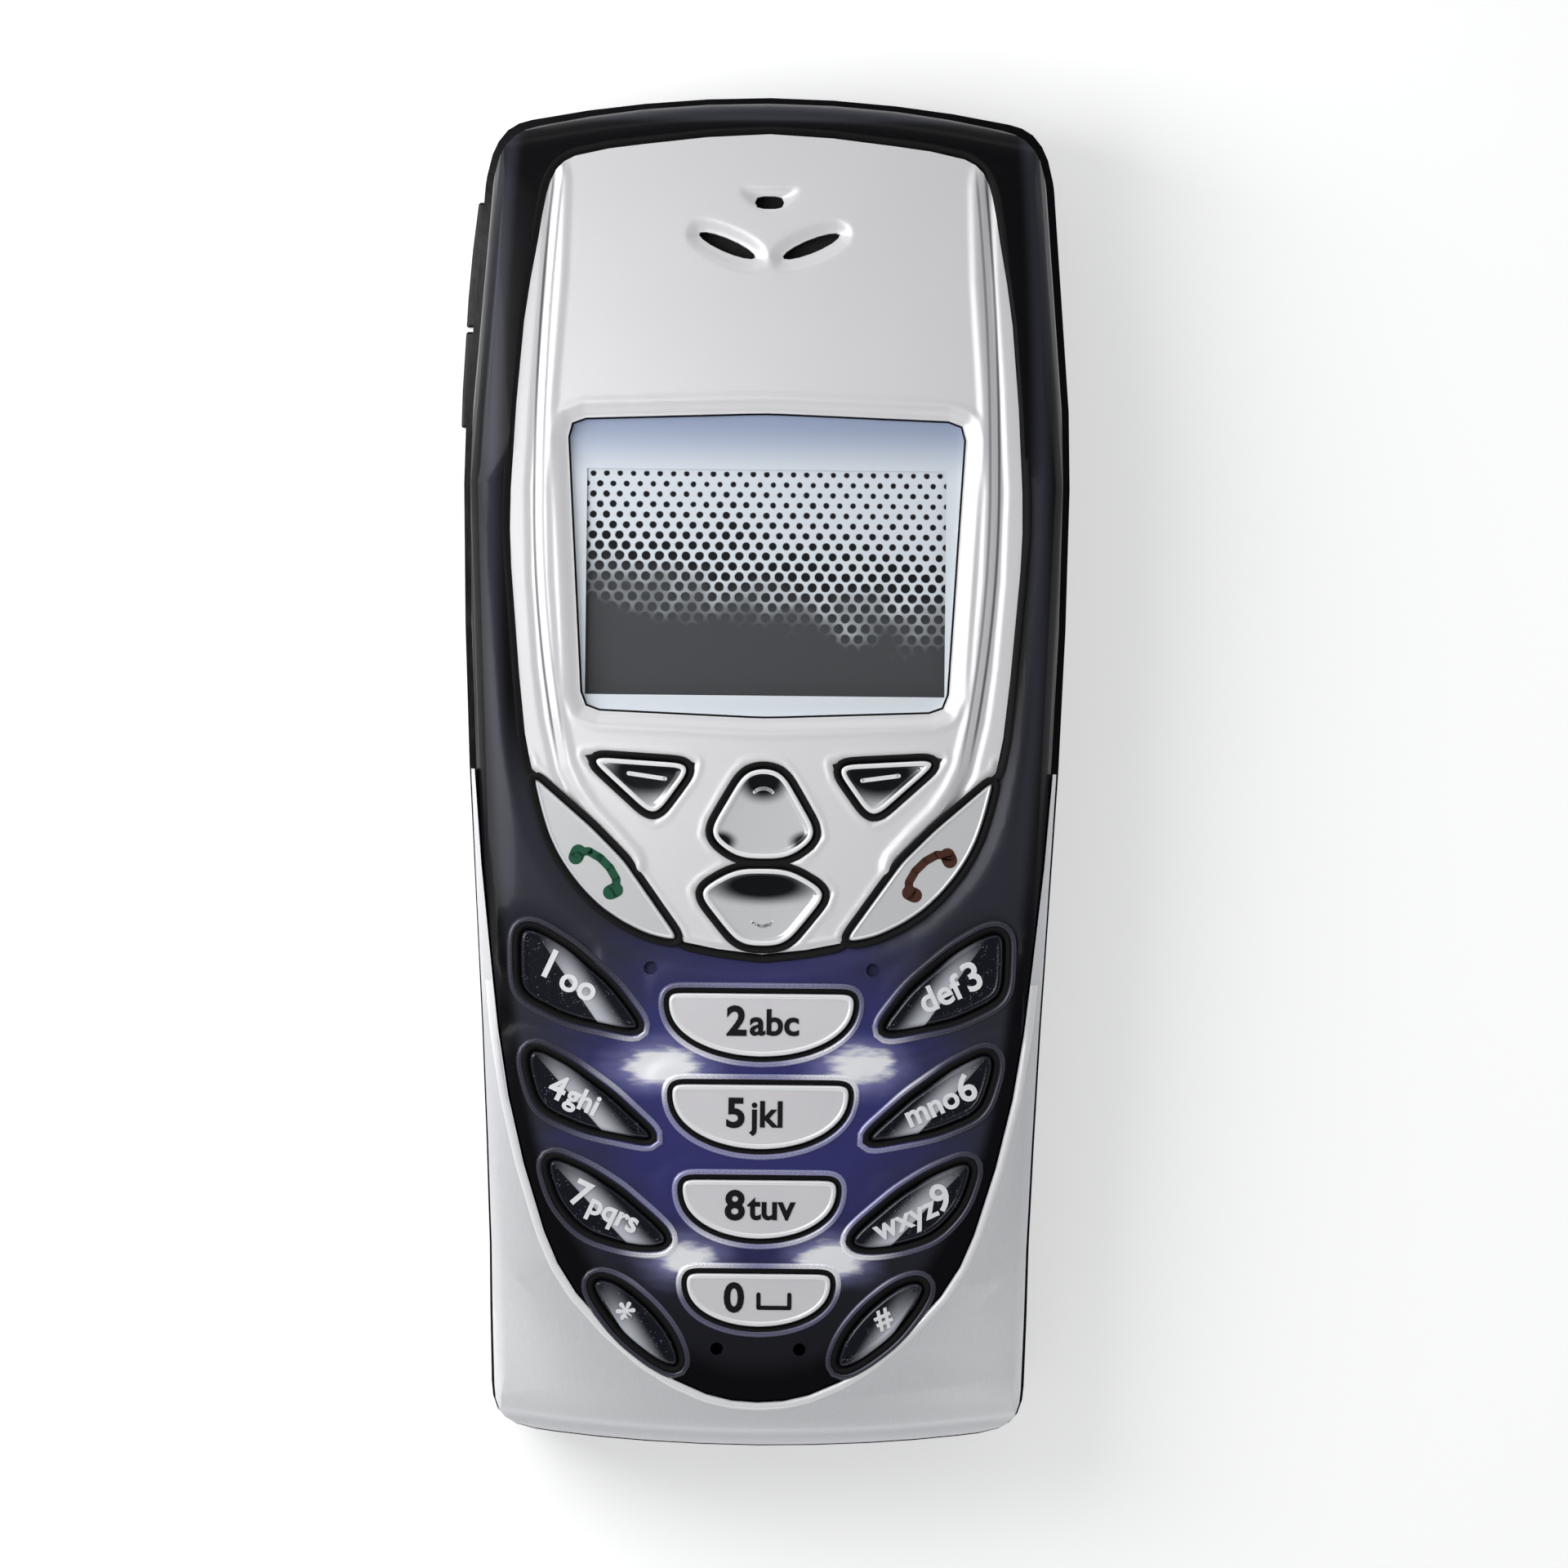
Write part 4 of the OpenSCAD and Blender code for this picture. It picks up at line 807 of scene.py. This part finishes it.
speckled_black, place = start_finish("speckled_black")
speck = place.node("TexVoronoi", {"feature": "F1"}, {"Vector": place, "Scale": 5500.0, "Randomness": 1.0})
fleck = (1 - speck.rise(0.1, 0.3)) * grain(place, 0.6 * mm).rise(0.48, 0.66)
across, up = place.axes()[:2]
sideways = place.maths("ABSOLUTE", across)
# Painted reflection: a pale wedge along one edge of each side key.
painted_reflection = 0.0
for outer, tip in [((16.3, -11.3), (8.3, -18.6)), ((16.6, -19.6), (7.25, -26.4)),
                   ((15.3, -27.4), (6.2, -33.6)), ((12.05, -36.1), (5.45, -42.85))]:
    edge = (Vector(tip) - Vector(outer)).normalized()
    out, down = sideways - outer[0] * mm, up - outer[1] * mm
    along = out * edge.x + down * edge.y
    inward = out * -edge.y + down * edge.x
    over = 0.22 * along - inward
    wedge = over.rise(-0.06 * mm, 0.06 * mm) * (1 - over.rise(0.2 * mm, 1.7 * mm))
    painted_reflection = wedge * along.rise(0.5 * mm, 5 * mm) * inward.rise(-1.2 * mm, -1 * mm) + painted_reflection
dark = fleck.between((0.005, 0.006, 0.011), (0.2, 0.22, 0.27))
end_finish(place, {
    "Base Color": painted_reflection.cover(dark, (0.5, 0.51, 0.56)),
    "Roughness": 0.16 + 0.12 * grain(place, 0.2 * mm), "Normal": bumps(speck, 0.006 * mm),
    "Specular IOR Level": 0.3, "Coat Weight": 0.25, "Coat Roughness": 0.05})

key_silver, place = start_finish("key_silver")
blast = grain(place, 0.08 * mm, 2.0)
end_finish(place, {
    "Base Color": grain(place, 4 * mm).between((0.76, 0.74, 0.77), (0.82, 0.8, 0.82)), "Metallic": 0.2,
    "Roughness": 0.28 + 0.1 * blast, "Normal": bumps(blast, 0.003 * mm)})


def print_ink(name, colour):
    finish, place = start_finish(name)
    end_finish(place, {
        "Base Color": grain(place, 0.3 * mm).between(colour, tuple(0.85 * c for c in colour)),
        "Roughness": 0.4 + 0.15 * grain(place, 0.1 * mm), "Specular IOR Level": 0.2})
    return finish


white_ink = print_ink("white_ink", (0.85, 0.86, 0.88))
black_ink = print_ink("black_ink", (0.006, 0.006, 0.007))
side_rings = [(0, 0.05), (0.08, 0.2), (0.1, 0.29), (0.1, 0.31), (0.08, 0.29), (0.08, 0.26), (0.15, 0.26)]
moon_rings = [(0, 0.0), (0.08, 0.2), (0.1, 0.28), (0.12, 0.3), (0.15, 0.29), (0.2, 0.29)]
side_keys = {
    "key_1": [("1", 2.9, -15.1, -13.9), ("oo", 2.5, -13.0, -15.3)],
    "key_4": [("4", 2.45, -14.4, -22.7), ("ghi", 2.1, -12.6, -23.55)],
    "key_7": [("7", 2.6, -12.75, -30.25), ("pqrs", 2.15, -10.35, -31.6)],
    "key_star": [("*", 2.9, -9.7, -39.05)],
    "key_3": [("3", 2.9, 15.0, -14.5), ("def", 2.5, 12.7, -15.8)],
    "key_6": [("6", 2.75, 14.65, -22.45), ("mno", 2.25, 12.2, -23.75)],
    "key_9": [("9", 2.75, 12.95, -30.3), ("wxyz", 2.25, 10.4, -31.75)],
    "key_hash": [("#", 1.95, 8.9, -38.9)]}
for node, words in side_keys.items():
    key_cap(node, speckled_black, side_rings)
    for i, (text, size, x, y) in enumerate(words):
        legend = lettering(f"{node}_print_{i}", text, size * mm, 0.06 * mm)
        lean = radians(-25 if x < 0 else 25)
        laid_on(legend, x * mm, y * mm, lean, 0.29 * mm, white_ink, node)
moon_keys = {
    "key_2": ("2", "abc", 0.95, -17.85), "key_5": ("5", "jkl", 0.5, -24.4),
    "key_8": ("8", "tuv", 0.85, -31.0), "key_0": ("0", "", 1.1, -37.6)}
for node, (digit, letters, x, y) in moon_keys.items():
    key_cap(node, key_silver, moon_rings)
    legend = lettering(node + "_digit", digit, 2.9 * mm, 0.09 * mm)
    laid_on(legend, -1.75 * mm, y * mm, 0, 0.31 * mm, black_ink, node)
    if letters:
        legend = lettering(node + "_letters", letters, 2.6 * mm, 0.06 * mm)
        laid_on(legend, x * mm, (y - 0.08) * mm, 0, 0.31 * mm, black_ink, node)
    else:
        space = [[(-1.1, 0.45), (-1.1, -0.5), (1.1, -0.5), (1.1, 0.45)]]
        legend = stroke(node + "_space", space, 0.3 * mm)
        laid_on(legend, x * mm, (y - 0.1) * mm, 0, 0.31 * mm, black_ink, node)


# Round every front key a black rubber wall of the key mat fills the gap to its opening; its black stands in
# for the shade in the gap as well.
# Round the number keys the bezel's edge is a raised, polished lip in a paler violet; the paleness is partly
# painted highlight, and it darkens away from the middle of the keypad.
rubber_and_shade, place = start_finish("rubber_and_shade")
end_finish(place, {
    "Base Color": grain(place, 0.4 * mm).between((0.003, 0.003, 0.003), (0.006, 0.006, 0.007)),
    "Roughness": 0.6 + 0.2 * grain(place, 0.1 * mm), "Specular IOR Level": 0.2})
pale_pearl, place = start_finish("pale_pearl")
across, up = place.axes()[:2]
# Painted highlight: the lips turn white near the highlight spots.
glow = 0.0
for x, y, wide, high in highlight_spots:
    for side in (-1, 1):
        glow = 1.0 * (1 - around(across, up, side * x, y, 1.6 * wide, 1.6 * high).rise(0.3, 1.1)) + glow
middle = 1 - around(across, up, 0, -26, 16, 18).rise(0.4, 1.0)
lip_tone = middle.between((0.05, 0.05, 0.07), (0.32, 0.32, 0.52))
end_finish(place, {
    "Base Color": glow.cover(lip_tone, (0.96, 0.96, 1)), "Metallic": 0.3,
    "Roughness": 0.22 + 0.1 * grain(place, 0.1 * mm)})
number_keys = [*side_keys, *moon_keys]
hollow_keys = ["soft_key_left", "soft_key_right", "scroll_up_key", "scroll_down_key"]
pointed_keys = ["call_key", "end_key"]
wall_rows = [(0.55, -0.3), (0.53, -0.03), (0.42, 0.0), (0.2, -0.05), (0.05, -0.3)]
for node in number_keys + hollow_keys + pointed_keys:
    height = 0.02 if node in number_keys else -0.02
    wall = band(outline(node, key_level), [(out, height + rise) for out, rise in wall_rows])
    show_ring(node + "_wall", wall, rubber_and_shade, "front_cover")
lip_rows = [(1.0, -0.25), (0.95, 0.02), (0.84, 0.13), (0.7, 0.15), (0.58, 0.08), (0.52, -0.25)]
for node in number_keys:
    closer = 0.0 if node in side_keys else 0.18
    lip = band(outline(node, key_level), [(out - closer, height) for out, height in lip_rows])
    show_ring(node + "_lip", lip, pale_pearl, "front_cover")
# Painted shade: a black ring in the gap round the face plate, lapping over the bezel's edge.
shade_ring_rows = [(0.62, -0.35), (0.58, -0.16), (0.4, -0.14), (0.2, -0.25), (0.04, -0.5)]
shade_ring = band(outline("face_plate", -0.8 * mm, 2), shade_ring_rows)
show_ring("plate_shade_ring", shade_ring, rubber_and_shade, "front_cover")


# The keys on the plate are plated caps: two soft keys, two scroll keys, and call and end.
# Bright plating is painted dark towards their hollow middles as a reflection, and the marks are filled with
# colour.
plated, place = start_finish("plated")
across, up = place.axes()[:2]
# Painted reflection: dark patches on the soft keys and the scroll keys.
dark_reflection = 0.0
for x, y, wide, high in [(-8.2, -0.1, 4.2, 2.4), (8.2, -0.1, 4.2, 2.4), (0, -0.7, 2.1, 1.7),
                         (0, -8.1, 4.6, 1.5), (-3.1, -5.0, 1.4, 0.9), (3.1, -5.0, 1.4, 0.9)]:
    dark_reflection = 1.0 * (1 - around(across, up, x, y, wide, high).rise(0.45, 1.1)) + dark_reflection
end_finish(place, {
    "Base Color": dark_reflection.between((0.82, 0.83, 0.84), (0.006, 0.007, 0.008)), "Metallic": 0.35,
    "Roughness": 0.16 + 0.08 * grain(place, 0.1 * mm)})
hollow_rings = [(0, -0.1), (0.06, 0.1), (0.08, 0.16), (0.12, 0.18), (0.12, 0.16), (0.1, 0.08), (0.15, 0.06)]
pointed_rings = [(0, -0.1), (0.04, 0.06), (0.05, 0.14), (0.06, 0.17), (0.05, 0.15), (0.05, 0.08)]
for node in hollow_keys:
    key_cap(node, plated, hollow_rings)
for node in pointed_keys:
    key_cap(node, plated, pointed_rings, even=False)


# The plated and the silver keys have a rolled rim, painted near white as a highlight.
# It is a narrow ring just inside the edge of the cap, and stands a little above its top.
rim_rows = [(-0.02, -0.15), (-0.06, -0.05), (-0.16, 0.0), (-0.28, -0.02), (-0.38, -0.1), (-0.4, -0.2)]
for node in [*hollow_keys, *moon_keys]:
    top = 0.24 if node in hollow_keys else 0.38
    rim = band(outline(node, key_level), [(out, top + rise) for out, rise in rim_rows])
    show_ring(node + "_rim", rim, highlight_rim, body_of(node))


# The marks on the plated keys are printed: white lines on the soft keys and the scroll keys,
# a green handset on the call key and a brown one on the end key.
green_ink = print_ink("green_ink", (0.012, 0.09, 0.045))
brown_ink = print_ink("brown_ink", (0.07, 0.025, 0.015))
for node, side in (("soft_key_left", -1), ("soft_key_right", 1)):
    dash = stroke(node + "_mark", [[(-1.3, 0), (1.3, 0)]], 0.3 * mm)
    laid_on(dash, side * 8.3 * mm, -0.4 * mm, radians(side * 8), 0.06 * mm, white_ink, node)
for node, y, radius, from_turn in (("scroll_up_key", -2.1, 0.9, 45), ("scroll_down_key", -10.0, 1.0, 225)):
    turns = [radians(from_turn + step) for step in range(0, 91, 10)]
    arc = stroke(node + "_mark", [[(radius * cos(turn), radius * sin(turn)) for turn in turns]], 0.25 * mm)
    laid_on(arc, 0, y * mm, 0, 0.06 * mm, white_ink, node)
handset = [[(-1.9, -0.1), (-1.4, 0.45), (-0.5, 0.7), (0.5, 0.7), (1.4, 0.45), (1.9, -0.1)]]
ends = [[(-1.9, -0.1), (-1.75, -0.5)], [(1.9, -0.1), (1.75, -0.5)]]
for node, ink, x, turn in (("call_key", green_ink, -11.7, -45), ("end_key", brown_ink, 11.7, 45)):
    for part, paths, width, lift in (("_mark", handset, 0.6, 0.06), ("_ends", ends, 1.05, 0.065)):
        drawn = stroke(node + part, paths, width * mm)
        laid_on(drawn, x * mm, -7.1 * mm, radians(turn), lift * mm, ink, node)


# The stage: a white floor that keeps the phone's soft shadow.
# It is white to the camera and in reflections, and gives the object no extra light.
floor_white = bpy.data.materials.new("floor_white")
floor_white.use_nodes = True
floor_white.node_tree.nodes.clear()
wire = Wire(floor_white.node_tree)
path = wire.node("LightPath", {}, {}, "Is Camera Ray")
seen = path
for ray in ("Is Glossy Ray", "Is Transmission Ray"):
    seen = path.maths("MAXIMUM", seen, Wire(path.tree, path.socket.node.outputs[ray]))
paper = wire.node("BsdfDiffuse", {}, {"Color": (0.8, 0.8, 0.8, 1)})
glow = wire.node("Emission", {}, {"Color": (1, 1, 1, 1), "Strength": 0.5 * seen})
both = wire.node("AddShader", {}, {0: paper, 1: glow})
wire.node("OutputMaterial", {}, {"Surface": both})
ground = bmesh.new()
bmesh.ops.create_grid(ground, x_segments=1, y_segments=1, size=4)
floor_mesh = bpy.data.meshes.new("floor")
ground.to_mesh(floor_mesh)
ground.free()
floor = bpy.data.objects.new("floor", floor_mesh)
floor.location.z = -0.1 * mm
bpy.context.scene.collection.objects.link(floor)
floor_mesh.materials.append(floor_white)

# The studio: a white room for the camera, dimmer for the light it gives.
# Soft boxes stand to the upper left, to the right, and beyond both ends of the phone.
room = bpy.data.worlds.new("room")
bpy.context.scene.world = room
room.use_nodes = True
room.node_tree.nodes.clear()
wire = Wire(room.node_tree)
seen = wire.node("LightPath", {}, {}, "Is Camera Ray")
white = wire.node("Background", {}, {"Color": (1, 1, 1, 1), "Strength": 1.0})
upward = wire.node("TexCoord", {}, {}, "Generated").axes()[2]
dimming = 0.6 - 0.48 * upward.rise(0.3, 0.85)
light = wire.node("Background", {}, {"Color": (0.95, 0.97, 1, 1), "Strength": dimming})
both = wire.node("MixShader", {}, {0: seen, 1: light, 2: white})
wire.node("OutputWorld", {}, {"Surface": both})


def soft_box(name, place, wide, long, watts):
    lamp = bpy.data.lights.new(name, "AREA")
    lamp.shape = "RECTANGLE"
    lamp.size = wide
    lamp.size_y = long
    lamp.energy = watts
    box = bpy.data.objects.new(name, lamp)
    bpy.context.scene.collection.objects.link(box)
    box.location = place
    box.rotation_euler = (-Vector(place)).to_track_quat("-Z", "Y").to_euler()
    box.visible_camera = False


soft_box("key_light", (-0.09, 0.03, 0.115), 0.08, 0.15, 0.17)
soft_box("right_light", (0.13, 0.0, 0.12), 0.04, 0.2, 0.01)
soft_box("far_light", (0.0, 0.17, 0.12), 0.14, 0.05, 0.02)
soft_box("near_light", (0.0, -0.17, 0.11), 0.14, 0.05, 0.025)

# The camera looks straight down on the front, from about an arm's length and with a long lens.
# It is turned by the small roll of the photograph.
lens = bpy.data.cameras.new("camera")
lens.lens = 200
lens.sensor_width = 36
lens.clip_start = 0.01
camera = bpy.data.objects.new("camera", lens)
bpy.context.scene.collection.objects.link(camera)
camera.location = (1.45 * mm, -0.87 * mm, 637 * mm)
camera.rotation_euler = (0, 0, radians(0.585))
bpy.context.scene.camera = camera
bpy.context.scene.view_settings.view_transform = "Standard"
